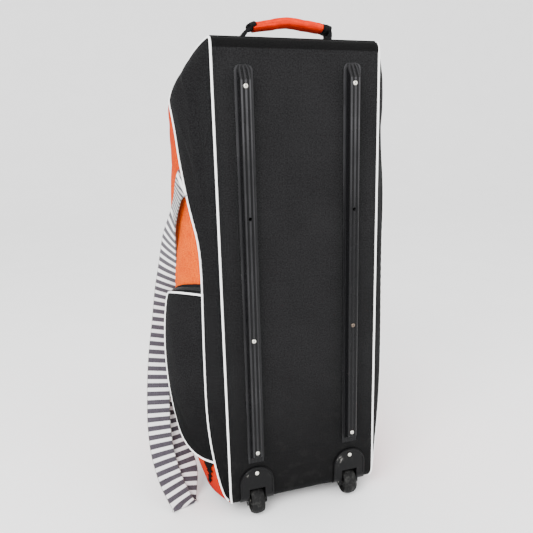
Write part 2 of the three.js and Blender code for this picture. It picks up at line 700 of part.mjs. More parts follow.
// Rivets: a domed head on a shank, pushed in along +Y
const rivetProfile = [
  [0, -RIVET.long],
  [RIVET.shank, -RIVET.long],
  [RIVET.shank, 0],
  [RIVET.head, 0],
  [RIVET.head * 0.92, RIVET.dome * 0.55],
  [RIVET.head * 0.6, RIVET.dome * 0.93],
  [0, RIVET.dome],
].map(([radius, height]) => new THREE.Vector2(radius, height));
function rivet(y, z) {
  return new THREE.LatheGeometry(rivetProfile, 8).rotateX(Math.PI).translate(RAIL_X, y, z);
}
RIVETS.forEach((z, i) => addPair(`rail_rivet_${i + 1}`, rivet(seatDepth - GAP, z), steel));

// Wheel housings: a plate over the corner with an arched top, and a well for the wheel
const HOUSING_RIVET = 62;
function cornerPlate() {
  const { front, foot, back, plate, corner } = HOUSING;
  const shape = new THREE.Shape();
  shape.moveTo(front, HOUSING.top).lineTo(front, foot + corner);
  shape.absarc(front + corner, foot + corner, corner, Math.PI, 1.5 * Math.PI);
  shape.lineTo(back, foot).lineTo(back, foot + plate);
  shape.absarc(front + corner, foot + corner, corner - plate, 1.5 * Math.PI, Math.PI, true);
  shape.lineTo(front + plate, HOUSING.top);
  return alongX(shape, -HOUSING.half, HOUSING.half);
}
const archShape = arch(HOUSING.half, 2 * HOUSING.foot, HOUSING.top, HOUSING.half);
const archOutline = alongY(archShape, -PAST, PAST);
const wellBlock = box(-WELL.half, WELL.half, HOUSING.front + 1, PAST, HOUSING.foot, PAST);
const well = common(rod(WELL.radius, WELL.half, WHEEL.y, WHEEL.z, 24), wellBlock);
const lugs = rod(3 * WHEEL.bore, WELL.half, WHEEL.y, WHEEL.z, 12);
const inside = WELL.half - WELL.wall;
const housing = cut(
  join(common(cornerPlate(), archOutline), well, lugs),
  rod(WELL.cavity, inside, WHEEL.y, WHEEL.z, 24),
  box(-inside, inside, 2 * HOUSING.front, GAP, 2 * HOUSING.foot, HOUSING.slot),
  rod(WHEEL.bore, 2 * WELL.half, WHEEL.y, WHEEL.z, 10),
  bore(RIVET.shank + GAP, HOUSING_RIVET, 2 * HOUSING.front, 1),
);
addPair("wheel_housing", housing.translate(RAIL_X, 0, 0), blackPlastic);
const shortRivet = rivet(HOUSING.front - GAP, HOUSING_RIVET);
addPair("housing_rivet", common(shortRivet, box(0, 2 * RAIL_X, -PAST, -GAP, 0, PAST)), steel);

// Axles and wheels
const axle = rod(WHEEL.bore - GAP, WELL.half - GAP, WHEEL.y, WHEEL.z, 10);
addPair("axle", axle.translate(RAIL_X, 0, 0), steel);
const wheelSide = [
  [WHEEL.bore, WHEEL.half - 1],
  [9, WHEEL.half - 1],
  [10.5, WHEEL.half - 5],
  [19, WHEEL.half - 5],
  [20.5, WHEEL.half - 1],
  [WHEEL.radius - 4, WHEEL.half],
  [WHEEL.radius - 1, WHEEL.half - 2.5],
  [WHEEL.radius, WHEEL.half - 7],
];
const wheelLoop = [...wheelSide, ...wheelSide.map(([r, x]) => [r, -x]).reverse(), wheelSide[0]];
const wheelProfile = wheelLoop.map(([r, x]) => new THREE.Vector2(r, x));
const wheel = new THREE.LatheGeometry(wheelProfile, 16).rotateZ(Math.PI / 2);
addPair("wheel", wheel.translate(RAIL_X, WHEEL.y, WHEEL.z), blackRubber);

// Grab handle: webbing from foot to foot through a padded grip with a binding at each end
const handleFoot = HANDLE[HANDLE.length - 1].x;
function footPoint(x, y) {
  const share = reach(topLoop, topMiddle, x, y);
  return new THREE.Vector3(x, y, topHeight(share, { y }) + 2 * GAP);
}
const onHandle = (rows, sign) => rows.map(({ x, z }) => new THREE.Vector3(sign * x, HANDLE_Y, z));
const handlePath = [...onHandle(HANDLE, -1).reverse(), ...onHandle(HANDLE, 1).slice(1)];
const WEB_HALF = 15;
const acrossHandle = [HANDLE_Y - WEB_HALF, HANDLE_Y + WEB_HALF];
const handleGrid = [
  acrossHandle.map((y) => footPoint(-handleFoot, y)),
  ...handlePath.map((point) => acrossHandle.map((y) => point.clone().setY(y))),
  acrossHandle.map((y) => footPoint(handleFoot, y)),
];
const handleWeb = 2 * CLOTH; // two layers sewn together
const handleBand = slab(offset(handleGrid, handleWeb / 2), offset(handleGrid, -handleWeb / 2));
add("handle_webbing", handleBand, blackWebbing);

// A sleeve round the webbing along a stretch of the handle
function sleeve(points, halfDeep, halfTall, sides) {
  const slot = new THREE.Shape();
  const wide = WEB_HALF + GAP;
  const tall = handleWeb / 2 + 2 * GAP;
  slot.moveTo(-wide, -tall).lineTo(wide, -tall).lineTo(wide, tall).lineTo(-wide, tall);
  const past = -0.2; // the slot runs this share of a step past each end
  const first = points[0].clone().lerp(points[1], past);
  const last = points[points.length - 1].clone().lerp(points[points.length - 2], past);
  return cut(sweep(ring(halfDeep, halfTall, sides), points), sweep(slot, [first, ...points, last]));
}
const gripHalf = HANDLE.slice(0, 3);
const gripPath = [...onHandle(gripHalf, -1).reverse(), ...onHandle(gripHalf, 1).slice(1)];
const GRIP = { deep: 19, tall: 11 }; // half sizes
const BINDING = { deep: 18.5, tall: 8.5 };
const bindingPath = onHandle(HANDLE.slice(3, 5), 1);
add("handle_grip", sleeve(gripPath, GRIP.deep, GRIP.tall, 14), orangeCloth);
addPair("handle_binding", sleeve(bindingPath, BINDING.deep, BINDING.tall, 12), blackWebbing);

// Shoulder strap: a flat band, ruled by lines across it that may run aslant
const strapMiddle = STRAP.map(({ x, y, z }) => new THREE.Vector3(x, y, z));
const strapGrid = STRAP.map((row, i) => {
  const before = strapMiddle[Math.max(i - 1, 0)];
  const after = strapMiddle[Math.min(i + 1, STRAP.length - 1)];
  const way = after.clone().sub(before).normalize();
  const turn = THREE.MathUtils.degToRad(row.turn);
  const tip = THREE.MathUtils.degToRad(row.tip);
  const level = new THREE.Vector3(-Math.sin(turn), Math.cos(turn), 0);
  const across = level.multiplyScalar(Math.cos(tip)).setZ(Math.sin(tip));
  const half = STRAP_HALF / Math.sqrt(1 - across.dot(way) ** 2);
  return [-half, half].map((shift) => strapMiddle[i].clone().addScaledVector(across, shift));
});
add("shoulder_strap", slab(offset(strapGrid, WEB / 2), offset(strapGrid, -WEB / 2)), stripedWebbing);

// Stand the bag on z = 0 with its box centred on the z axis
const extent = new THREE.Box3().setFromObject(bag);
const centre = extent.getCenter(new THREE.Vector3());
bag.position.set(-centre.x, -centre.y, -extent.min.z);
bag.updateMatrixWorld(true);

export default bag;
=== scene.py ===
import bmesh
import bpy
import numpy as np
from mathutils import Matrix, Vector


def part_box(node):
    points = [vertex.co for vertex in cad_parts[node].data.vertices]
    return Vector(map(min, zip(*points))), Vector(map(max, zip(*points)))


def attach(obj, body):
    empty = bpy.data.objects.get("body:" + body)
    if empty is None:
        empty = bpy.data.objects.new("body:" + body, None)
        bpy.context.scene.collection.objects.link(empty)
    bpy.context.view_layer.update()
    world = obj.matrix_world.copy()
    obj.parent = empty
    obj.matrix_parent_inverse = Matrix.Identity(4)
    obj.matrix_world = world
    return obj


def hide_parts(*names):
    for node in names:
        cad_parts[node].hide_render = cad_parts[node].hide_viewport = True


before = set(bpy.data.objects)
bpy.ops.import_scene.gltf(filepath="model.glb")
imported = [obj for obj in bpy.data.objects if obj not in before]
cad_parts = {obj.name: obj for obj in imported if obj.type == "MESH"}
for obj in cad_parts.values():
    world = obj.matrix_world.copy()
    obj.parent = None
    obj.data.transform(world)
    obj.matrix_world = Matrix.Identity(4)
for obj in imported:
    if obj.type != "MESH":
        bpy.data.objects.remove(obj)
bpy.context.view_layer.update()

# The studio: a pale paper floor that sweeps up far behind, in an even white room, with a large soft
# lamp at the upper left and a weaker one at the right. The camera stands where the photograph was
# taken from, left of the base panel and level with its upper third, tipped down a little.
AXLE = np.array([104.0, 10.0, -8.0])  # middle of the right axle, in the bag's own millimetres
axle_low, axle_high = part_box("axle_right")
PLACE = np.array(500 * (axle_low + axle_high)) - AXLE


def placed(points):
    """Points in the bag's millimetres, which count from the foot of the base panel's face, moved to
    the floor's middle and turned into metres."""
    return (np.asarray(points, float) + PLACE) / 1000


EYE = (-347.2, -939.6, 707.0)
TURN, DIP, ROLL = 0.28629, 0.21509, -0.02669  # radians: to the right, down, about the line of sight
FOCAL, PICTURE = 525.75, 533  # pixels

ahead = np.array([np.sin(TURN) * np.cos(DIP), np.cos(TURN) * np.cos(DIP), -np.sin(DIP)])
level = np.array([np.cos(TURN), -np.sin(TURN), 0.0])
above = np.cross(level, ahead)
stand = np.eye(4)
stand[:3, 0] = np.cos(ROLL) * level + np.sin(ROLL) * above
stand[:3, 1] = np.cos(ROLL) * above - np.sin(ROLL) * level
stand[:3, 2] = -ahead
stand[:3, 3] = placed(EYE)
scene = bpy.context.scene
camera = bpy.data.objects.new("camera", bpy.data.cameras.new("camera"))
camera.data.sensor_width = 36
camera.data.lens = 36 * FOCAL / PICTURE
camera.matrix_world = Matrix(stand.tolist())
scene.collection.objects.link(camera)
scene.camera = camera

room = bpy.data.worlds.new("white_room")
room.use_nodes = True
room.node_tree.nodes["Background"].inputs["Color"].default_value = (1, 1, 1, 1)
room.node_tree.nodes["Background"].inputs["Strength"].default_value = 2.1
scene.world = room


def unit(rows):
    """Directions made one long."""
    return rows / np.linalg.norm(rows, axis=-1, keepdims=True)


def lamp(name, place, aim, size, watts):
    """A square soft lamp at one point in the bag's millimetres, turned to face another."""
    light = bpy.data.lights.new(name, "AREA")
    light.shape, light.size, light.energy = "SQUARE", size, watts
    made = bpy.data.objects.new(name, light)
    back = unit(placed(place) - placed(aim))
    side = unit(np.cross((0, 0, 1), back))
    turn = np.eye(4)
    turn[:3, :3] = np.stack([side, np.cross(back, side), back], 1)
    turn[:3, 3] = placed(place)
    made.matrix_world = Matrix(turn.tolist())
    scene.collection.objects.link(made)


lamp("upper_left_lamp", (-1500, -1500, 1900), (0, 100, 450), 1.4, 90)
lamp("right_lamp", (1700, -1300, 1200), (0, 100, 400), 1.6, 26)


def wire(tree, kind, values=None, **settings):
    """Adds a shader node with its settings, and fills its inputs, by name or number, with plain
    values or with other nodes' outputs."""
    made = tree.nodes.new("ShaderNode" + kind)
    for key, value in settings.items():
        setattr(made, key, value)
    for key, value in (values or {}).items():
        if isinstance(value, bpy.types.NodeSocket):
            tree.links.new(value, made.inputs[key])
        else:
            made.inputs[key].default_value = value
    return made


def finish_for(name, constants):
    """A material with one Principled shader, its constant sockets set directly. Gives the material,
    its node tree and the shader's inputs."""
    made = bpy.data.materials.new(name)
    made.use_nodes = True
    shader = made.node_tree.nodes["Principled BSDF"]
    for key, value in constants.items():
        shader.inputs[key].default_value = value
    return made, made.node_tree, shader.inputs


def shades(tree, factor, *stops):
    """A colour ramp: stops are (place, colour), and factor is a node's output."""
    ramp = wire(tree, "ValToRGB", {"Fac": factor})
    band = ramp.color_ramp
    while len(band.elements) < len(stops):
        band.elements.new(0.5)
    for element, (place, colour) in zip(band.elements, stops):
        element.position = place
        element.color = (*colour, 1)
    return ramp.outputs["Color"]


floor_paint, tree, socket = finish_for("pale_floor", {"Roughness": 0.9})
speckle = wire(tree, "TexNoise", {"Scale": 3.0, "Vector": wire(tree, "TexCoord").outputs["Object"]})
tree.links.new(
    shades(tree, speckle.outputs["Fac"], (0.3, (0.93, 0.93, 0.93)), (0.7, (0.95, 0.95, 0.95))),
    socket["Base Color"],
)
FLOOR_HALF, SWEEP_FROM, SWEEP_RADIUS, SWEEP_TOP = 14.0, 5.0, 3.0, 9.0  # metres
bend = np.linspace(0, np.pi / 2, 25)
sweep_end = SWEEP_FROM + SWEEP_RADIUS
sweep_y = np.concatenate([[-FLOOR_HALF], SWEEP_FROM + SWEEP_RADIUS * np.sin(bend), [sweep_end]])
sweep_z = np.concatenate([[0], SWEEP_RADIUS * (1 - np.cos(bend)), [SWEEP_TOP]])
edges = [np.stack([np.full_like(sweep_y, x), sweep_y, sweep_z], 1) for x in (-FLOOR_HALF, FLOOR_HALF)]
first = np.arange(len(sweep_y) - 1)
strips = np.stack([first, first + len(sweep_y), first + len(sweep_y) + 1, first + 1], 1)
floor_mesh = bpy.data.meshes.new("floor")
floor_mesh.from_pydata(np.concatenate(edges).tolist(), [], strips.tolist())
floor_mesh.polygons.foreach_set("use_smooth", np.ones(len(strips), bool))
floor_mesh.materials.append(floor_paint)
floor = bpy.data.objects.new("floor", floor_mesh)
scene.collection.objects.link(floor)

# Base panel: one piece of black woven polyester glued over stiff board, folded round at the wheel
# end and the handle end. A lapped cross seam near the wheel end joins on a second, tougher piece,
# and notches in the bottom fold let the wheel wells through.
LENGTH, BASE_HALF = 907.0, 160.0  # millimetres, as every size below that is not said to be in metres
FOLD_BOTTOM, FOLD_TOP, END_SLOPE = 22.0, 16.0, 0.3
TOP_FOLD = LENGTH - FOLD_TOP * (1 + END_SLOPE)
TILT_FROM = 600.0
CORNER_IN, CORNER_FROM = 5.0, 28.0
SUNK, SUNK_TO = 10.0, 120.0
TUCK = 1.7  # cloth edges end this far from a piping's middle, inside the cord
BOARD = 3.0  # thickness of the board with its cloth
LAP = {"height": 96.0, "step": 0.7, "ease": 1.5}
NOTCH = {"near": 83.6, "far": 124.4, "top": 36.6}


def eased(value, low, high):
    """0 below low, 1 above high, and a smooth cubic between them."""
    share = np.clip((np.asarray(value, float) - low) / (high - low), 0, 1)
    return share * share * (3 - 2 * share)


def fold_depth(height):
    """How far the base panel's face lies behind its plane: nothing along its length, and a quarter
    circle at the wheel end and at the handle end."""
    low = np.clip(FOLD_BOTTOM - height, 0, FOLD_BOTTOM)
    high = np.clip((height - TOP_FOLD) / (LENGTH - TOP_FOLD), 0, 1)
    return FOLD_BOTTOM - np.sqrt(FOLD_BOTTOM**2 - low**2) + FOLD_TOP * (1 - np.sqrt(1 - high**2))


def base_half(height):
    """Half the base panel's width at a height: drawn in at the wheel end to round its corners."""
    return BASE_HALF - CORNER_IN * np.clip(1 - np.asarray(height, float) / CORNER_FROM, 0, 1) ** 2


def settled(height):
    """Height at which a section really lies: the cloth has sunk at the wheel end, by SUNK at the very
    bottom and by nothing from SUNK_TO up."""
    return height - SUNK * (1 - eased(height, 0, SUNK_TO))


def tipped(height):
    """Fall of a cross section for each millimetre of depth: none up to TILT_FROM, then easing into
    the slope of the handle end."""
    return -END_SLOPE * eased(height, TILT_FROM, LENGTH)


def normals(grid):
    """Unit normals of a grid of points: the cross product of its steps along rows and columns."""
    across = np.cross(np.gradient(grid, axis=0), np.gradient(grid, axis=1))
    return across / np.maximum(np.linalg.norm(across, axis=2, keepdims=True), 1e-9)


def swollen(grid, lift, outside):
    """A grid moved by lift along its normals, which are turned to point the way of outside."""
    way = normals(grid)
    way = way * np.where((way * outside).sum(2, keepdims=True) < 0, -1, 1)
    return grid + way * np.broadcast_to(lift, grid.shape[:2])[..., None]


def runs(grid, axis):
    """Distance in metres along a grid's rows or columns, from its first line."""
    step = np.linalg.norm(np.diff(grid, axis=axis), axis=2)
    start = np.zeros_like(step[:1] if axis == 0 else step[:, :1])
    return np.cumsum(np.concatenate([start, step], axis), axis) / 1000


def creased(along, across, creases):
    """Sum of soft ridges: each is (middle along, middle across, turn in degrees, half length, half
    width, height), a bell curve both ways in its own turned axes."""
    rows = np.asarray(creases, float)[:, :, None, None]
    turn = np.radians(rows[:, 2])
    u, v = along - rows[:, 0], across - rows[:, 1]
    length = (u * np.cos(turn) + v * np.sin(turn)) / rows[:, 3]
    width = (v * np.cos(turn) - u * np.sin(turn)) / rows[:, 4]
    return (rows[:, 5] * np.exp(-(length**2) - width**2)).sum(0)


def made_of(name, points, quads, charts, crisp=None):
    """An object from points in the bag's millimetres and four point numbers a face. Faces are turned
    outwards by the sign of the enclosed volume, crisp marks faces with hard edges, and each chart
    gives every face corner a place in metres, kept as a UV map."""
    points, quads = placed(points), np.asarray(quads)
    a, b, c, d = (points[quads[:, i]] for i in range(4))
    volume = (np.cross(a, b) * c).sum() + (np.cross(a, c) * d).sum()
    if volume < 0:
        quads = quads[:, ::-1]
        charts = {label: chart[:, ::-1] for label, chart in charts.items()}
    mesh = bpy.data.meshes.new(name)
    mesh.vertices.add(len(points))
    mesh.vertices.foreach_set("co", points.astype(np.float32).ravel())
    mesh.loops.add(quads.size)
    mesh.loops.foreach_set("vertex_index", quads.astype(np.int32).ravel())
    mesh.polygons.add(len(quads))
    mesh.polygons.foreach_set("loop_start", np.arange(0, quads.size, 4, dtype=np.int32))
    smooth = np.ones(len(quads), bool) if crisp is None else ~crisp
    mesh.polygons.foreach_set("use_smooth", smooth)
    for label, chart in charts.items():
        layer = mesh.uv_layers.new(name=label)
        layer.data.foreach_set("uv", chart.astype(np.float32).ravel())
    mesh.update(calc_edges=True)
    made = bpy.data.objects.new(name, mesh)
    scene.collection.objects.link(made)
    return made


def shell(name, outer, inner, charts, kept=None, closed=False):
    """The solid skin between an outer and an inner grid of points: a face for each kept cell of the
    outer grid, the same turned over on the inner grid, and a rim face wherever a kept cell has no
    kept neighbour. Closed joins the last column to the first."""
    rows, columns = outer.shape[:2]
    number = np.arange(rows * columns).reshape(rows, columns)
    if closed:
        number = np.hstack([number, number[:, :1]])
    if kept is None:
        kept = np.ones((number.shape[0] - 1, number.shape[1] - 1), bool)
    beside = np.pad(kept, 1)
    if closed:
        beside[1:-1, 0], beside[1:-1, -1] = kept[:, -1], kept[:, 0]
    corner = np.array([[0, 0], [0, 1], [1, 1], [1, 0]])
    around = np.array([[-1, 0], [0, 1], [1, 0], [0, -1]])
    cell = np.argwhere(kept)[:, None] + corner
    front = number[cell[..., 0], cell[..., 1]]
    faces, spots = [front, front[:, ::-1] + rows * columns], [cell, cell[:, ::-1]]
    for side in range(4):
        bare = kept & ~beside[
            1 + around[side, 0] : 1 + around[side, 0] + kept.shape[0],
            1 + around[side, 1] : 1 + around[side, 1] + kept.shape[1],
        ]
        start = np.argwhere(bare) + corner[side]
        end = np.argwhere(bare) + corner[(side + 1) % 4]
        one, two = number[start[:, 0], start[:, 1]], number[end[:, 0], end[:, 1]]
        faces.append(np.stack([two, one, one + rows * columns, two + rows * columns], 1))
        spots.append(np.stack([end, start, start, end], 1))
    quads, spot = np.concatenate(faces), np.concatenate(spots)
    crisp = np.arange(len(quads)) >= 2 * len(cell)
    points = np.concatenate([outer.reshape(-1, 3), inner.reshape(-1, 3)])
    maps = {label: chart[spot[..., 0], spot[..., 1]] for label, chart in charts.items()}
    return made_of(name, points, quads, maps, crisp)


def dressed(piece, finish, stands_for=(), body="bag"):
    """Gives a piece its material and the body it rides on, and hides the CAD nodes that it stands for."""
    piece.data.materials.clear()
    piece.data.materials.append(finish)
    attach(piece, body)
    if stands_for:
        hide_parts(*stands_for)


def group_of(name, inputs, outputs):
    """An empty shader node group with named inputs and outputs. Gives its tree, the inputs as node
    outputs and the sink that takes its results."""
    tree = bpy.data.node_groups.new(name, "ShaderNodeTree")
    for label in outputs:
        tree.interface.new_socket(label, in_out="OUTPUT", socket_type="NodeSocketFloat")
    for label, kind, value in inputs:
        entry = tree.interface.new_socket(label, in_out="INPUT", socket_type="NodeSocket" + kind)
        if value is not None:
            entry.default_value = value
    return tree, tree.nodes.new("NodeGroupInput").outputs, tree.nodes.new("NodeGroupOutput").inputs


def maths(tree, operation, *values):
    """One Math node's result."""
    return wire(tree, "Math", dict(enumerate(values)), operation=operation).outputs[0]


def mixed(tree, share, first, second):
    """Two colours mixed by share."""
    return wire(tree, "Mix", {0: share, 6: first, 7: second}, data_type="RGBA").outputs[2]


def added(tree, base, part, weight):
    """A base with a weighted part added to it."""
    return maths(tree, "ADD", base, maths(tree, "MULTIPLY", part, weight))


def noise(tree, place, scale, detail):
    """Soft noise, mostly from 0.3 to 0.7."""
    return wire(tree, "TexNoise", {"Vector": place, "Scale": scale, "Detail": detail}).outputs["Fac"]


def drawn_out(tree, place, scales):
    """A place scaled along each axis, so that noise at it is drawn out where the scale is small."""
    return wire(tree, "Mapping", {"Vector": place, "Scale": scales}).outputs[0]


def ranged(tree, value, low, high, at_low=0.0, at_high=1.0):
    """A value's range from low to high turned into at_low to at_high, and held there beyond it."""
    return wire(tree, "MapRange", {0: value, 1: low, 2: high, 3: at_low, 4: at_high}).outputs[0]


def charted(tree, label):
    """A place on one of a piece's UV maps."""
    return wire(tree, "UVMap", uv_map=label).outputs["UV"]


def parts(tree, place):
    """The parts of a place along each axis."""
    return wire(tree, "SeparateXYZ", {0: place}).outputs


def joined(tree, socket, colour, rough, raised, strength, deep):
    """Joins a colour, a roughness and a height to the shader, the height as bump, deep in metres."""
    bump = wire(tree, "Bump", {"Height": raised, "Strength": strength, "Distance": deep})
    tree.links.new(colour, socket["Base Color"])
    tree.links.new(rough, socket["Roughness"])
    tree.links.new(bump.outputs["Normal"], socket["Normal"])


# Plain weave: threads a pitch apart that pass over and under each other in turn
weave, given, result = group_of(
    "plain_weave", [("Cloth", "Vector", None), ("Pitch", "Float", 0.001)], ["Height", "Thread"]
)
scaled = wire(weave, "VectorMath", {0: given["Cloth"]}, operation="SCALE")
weave.links.new(maths(weave, "DIVIDE", 1.0, given["Pitch"]), scaled.inputs["Scale"])
place = parts(weave, scaled.outputs[0])
cells = [maths(weave, "FLOOR", place[i]) for i in (0, 1)]
rounds = [maths(weave, "ABSOLUTE", maths(weave, "SINE", maths(weave, "MULTIPLY", place[i], np.pi)))
          for i in (0, 1)]
over = maths(weave, "FLOORED_MODULO", maths(weave, "ADD", *cells), 2.0)
weave.links.new(wire(weave, "Mix", {0: over, 2: rounds[0], 3: rounds[1]}).outputs[0], result["Height"])
threads = [wire(weave, "TexWhiteNoise", {"W": cells[i]}, noise_dimensions="1D").outputs["Value"]
           for i in (0, 1)]
weave.links.new(wire(weave, "Mix", {0: over, 2: threads[0], 3: threads[1]}).outputs[0], result["Thread"])

# A row of stitches: Off is the distance from its line, Along the distance along it, both in metres
STITCH, THREAD, SEWN_OFF = 0.0042, 0.0007, 0.0065  # metres: pitch, half width, distance from the seam
stitching, given, result = group_of(
    "stitch_row", [("Off", "Float", 1.0), ("Along", "Float", 0.0)], ["Mask"]
)
phase = maths(stitching, "FRACT", maths(stitching, "DIVIDE", given["Along"], STITCH))
lengthwise = maths(stitching, "DIVIDE", maths(stitching, "SUBTRACT", phase, 0.5), 0.38)
crosswise = maths(stitching, "DIVIDE", given["Off"], THREAD)
ovals = [maths(stitching, "SUBTRACT", 1.0, maths(stitching, "MULTIPLY", way, way))
         for way in (lengthwise, crosswise)]
lumps = [maths(stitching, "MAXIMUM", oval, 0.0) for oval in ovals]
stitching.links.new(maths(stitching, "MULTIPLY", *lumps), result["Mask"])


def placed_group(tree, group, values):
    """A node group put into a material with its own values. Gives its outputs."""
    return wire(tree, "Group", values, node_tree=group).outputs


def cloth_finish(name, deep, pale, painted_low_shade, thread, shine=0.05, streaks=0.03, grain=0.5,
                 strip_from=2.0, high_fall=0.0):
    """Coated woven polyester: a plain weave on the cloth's own map, slubs drawn out along the length,
    a fine grain, slow changes of shade, a row of stitches beside each seam, painted shade that deepens
    the colour and dust towards the wheel end, a darker strip above strip_from metres, and painted
    shade that deepens the colour towards the handle end by high_fall."""
    finish, tree, socket = finish_for(name, {"Sheen Weight": 0.007, "Specular IOR Level": shine})
    cloth, edge = charted(tree, "cloth"), parts(tree, charted(tree, "seam"))
    solid = wire(tree, "TexCoord").outputs["Object"]
    height = parts(tree, solid)[2]
    # Shade, from about 0.25 for the deep colour to 0.95 for the pale one
    woven = placed_group(tree, weave, {"Cloth": cloth, "Pitch": 0.0011})
    shade = added(tree, maths(tree, "MULTIPLY", woven["Height"], 0.42), woven["Thread"], 0.08)
    slub = noise(tree, drawn_out(tree, cloth, (330.0, 55.0, 1.0)), 1.0, 4.0)
    streak = maths(tree, "MULTIPLY", maths(tree, "SUBTRACT", slub, 0.5), 5 * streaks)
    shade = maths(tree, "ADD", shade, maths(tree, "ADD", streak, 0.15))
    shade = added(tree, shade, noise(tree, solid, 9.0, 3.0), 0.34)
    crumbs = maths(tree, "SUBTRACT", noise(tree, cloth, 380.0, 3.0), 0.5)
    shade = added(tree, shade, crumbs, grain)
    # Painted shade: high_fall deepens the colour towards the handle end
    shade = maths(tree, "SUBTRACT", shade, ranged(tree, height, 0.56, 0.78, 0.0, high_fall))
    # Colour: the two shades, the painted shade low down, the strip, the stitches and the dust
    # Painted shade: the colour deepens towards the wheel end, where the dust lies too
    low = ranged(tree, height, 0.3, 0.04)
    colour = mixed(tree, low, shades(tree, shade, (0.25, deep), (0.95, pale)), (*painted_low_shade, 1))
    strip = ranged(tree, height, strip_from, strip_from + 0.001, 0.0, 0.8)
    colour = mixed(tree, strip, colour, (0.001, 0.001, 0.001, 1))
    off = maths(tree, "ABSOLUTE", maths(tree, "SUBTRACT", edge[0], SEWN_OFF))
    sewn = placed_group(tree, stitching, {"Off": off, "Along": edge[1]})["Mask"]
    stitched = maths(tree, "MINIMUM", maths(tree, "MULTIPLY", sewn, 1.6), 1.0)
    colour = mixed(tree, stitched, colour, (*thread, 1))
    dust = ranged(tree, noise(tree, solid, 60.0, 6.0), 0.55, 0.8, 0.0, 0.02)
    colour = mixed(tree, maths(tree, "MULTIPLY", dust, low), colour, (0.3, 0.29, 0.27, 1))
    # Pale threads shine a little more, and threads, slubs and stitches stand up
    rough = ranged(tree, shade, 0.2, 1.0, 0.82, 0.62)
    raised = maths(tree, "ADD", maths(tree, "MULTIPLY", woven["Height"], 0.3), sewn)
    joined(tree, socket, colour, rough, added(tree, raised, slub, 0.35), 0.45, 0.0005)
    return finish


# The third colour is painted shade: the black cloth deepens to it towards the wheel end
BLACK, WORN_BLACK, PAINTED_LOW_BLACK = (0.002, 0.002, 0.0021), (0.0138, 0.0138, 0.0144), (0.003, 0.003, 0.0031)
BLACK_THREAD = (0.004, 0.004, 0.0044)
STRIP_HEIGHT = 884.0  # a strip of the same cloth, sewn on here, makes the fold at the handle end
black_cloth = cloth_finish("black_cloth", BLACK, WORN_BLACK, PAINTED_LOW_BLACK, BLACK_THREAD, shine=0.01, grain=2.0)
base_cloth = cloth_finish("base_cloth", BLACK, WORN_BLACK, PAINTED_LOW_BLACK, BLACK_THREAD, grain=1.5,
                          strip_from=float(placed((0, 0, STRIP_HEIGHT))[2]))

# Rows and columns, close together at the folds, with lines along the notches
angle = np.linspace(0, np.pi / 2, 14)
heights = np.unique(np.round(np.concatenate([
    FOLD_BOTTOM * (1 - np.cos(angle)),
    [NOTCH["top"]],
    np.linspace(33, 130, 50),
    np.linspace(136, 860, 120),
    np.linspace(863, TOP_FOLD, 34),
    TOP_FOLD + (LENGTH - TOP_FOLD) * np.sin(angle),
]), 4))
widths = np.unique(np.concatenate([
    np.linspace(TUCK - BASE_HALF, BASE_HALF - TUCK, 91),
    [-NOTCH["far"], -NOTCH["near"], NOTCH["near"], NOTCH["far"]],
]))
x, z = np.meshgrid(widths, heights)
beyond = np.maximum(np.abs(x) - NOTCH["far"], 0) / (BASE_HALF - NOTCH["far"])
x = x - np.sign(x) * beyond * (BASE_HALF - base_half(z))
BASE_CREASES = [  # middle height, middle width, turn, half length, half width, height in millimetres
    (62, -8, 86, 40, 5, -0.5), (58, 26, 97, 46, 6, -0.6), (70, 52, 80, 30, 5, 0.3),
    (48, -44, 100, 28, 5, 0.3), (140, 0, 4, 16, 60, 0.25), (560, 30, 20, 120, 60, 0.3),
]
sunk = fold_depth(z) + 0.3 * np.sin(z / 61) * np.sin(x / 47) - creased(z, x, BASE_CREASES)
over_lap = eased(z, LAP["height"] - LAP["ease"], LAP["height"] + LAP["ease"])
on_strip = eased(z, STRIP_HEIGHT - LAP["ease"], STRIP_HEIGHT + LAP["ease"])
sunk = sunk - LAP["step"] * (1 - over_lap) * eased(z, 4, 24)
sunk = sunk - LAP["step"] * on_strip * (1 - eased(z, 890, 900))
panel = np.stack([x, sunk, settled(z) + tipped(z) * fold_depth(z)], 2)
away = np.array([0.0, -1.0, 0.0])
to_edge, to_lap = base_half(z) - np.abs(x), np.abs(z - LAP["height"] + 4)
near_edge = to_edge < to_lap
off_stitches = np.where(near_edge, to_edge, to_lap + 1000 * SEWN_OFF)
seam = np.stack([off_stitches, np.where(near_edge, z, x)], 2) / 1000
chart = np.stack([x / 1000, runs(panel, 0)], 2)
# Cells in the notches are left out
middle_x = (widths[1:] + widths[:-1]) / 2
middle_z = (heights[1:] + heights[:-1]) / 2
in_notch = (np.abs(middle_x) > NOTCH["near"]) & (np.abs(middle_x) < NOTCH["far"])
kept = ~(in_notch[None] & (middle_z < NOTCH["top"])[:, None])
base = shell("base_panel_cloth", panel, swollen(panel, -BOARD, away), {"cloth": chart, "seam": seam}, kept)
dressed(base, base_cloth, ["base_panel"])

# Side gussets: black cloth of the same kind, sewn to the base panel's edge in front and to the
# coloured cover along a curved seam behind. The filled bag holds them taut, with faint creases
# where the seam curves most.
STATIONS = np.array([  # height, half width, depth of the widest point, depth of the far side
    (0, 190, 125, 285), (60, 209, 130, 310), (200, 226.5, 132, 325), (450, 227, 132, 328),
    (620, 223.5, 132, 326), (700, 220.5, 132, 325), (765, 218, 131, 320), (805, 219, 130, 317),
    (842, 219.5, 128, 311), (868, 210.5, 126, 305), (LENGTH, 183, 122, 288),
])
CURVED_SEAM = np.array([  # height, depth
    (5, 8), (25, 18.5), (56, 26.5), (100, 32.5), (160, 35.6), (287, 33.9), (350, 33.1), (430, 32),
    (490, 31.9), (530, 34.3), (560, 39.8), (589, 48.4), (659, 69), (700, 81.8), (769, 103), (823, 118),
    (862, 133), (LENGTH, 168),
])
NEAR_SHARE, FAR_POWER = 0.35, 0.8
CLOTH = 2.0  # thickness of the cloth with its lining
TOP_ROW = LENGTH - TUCK


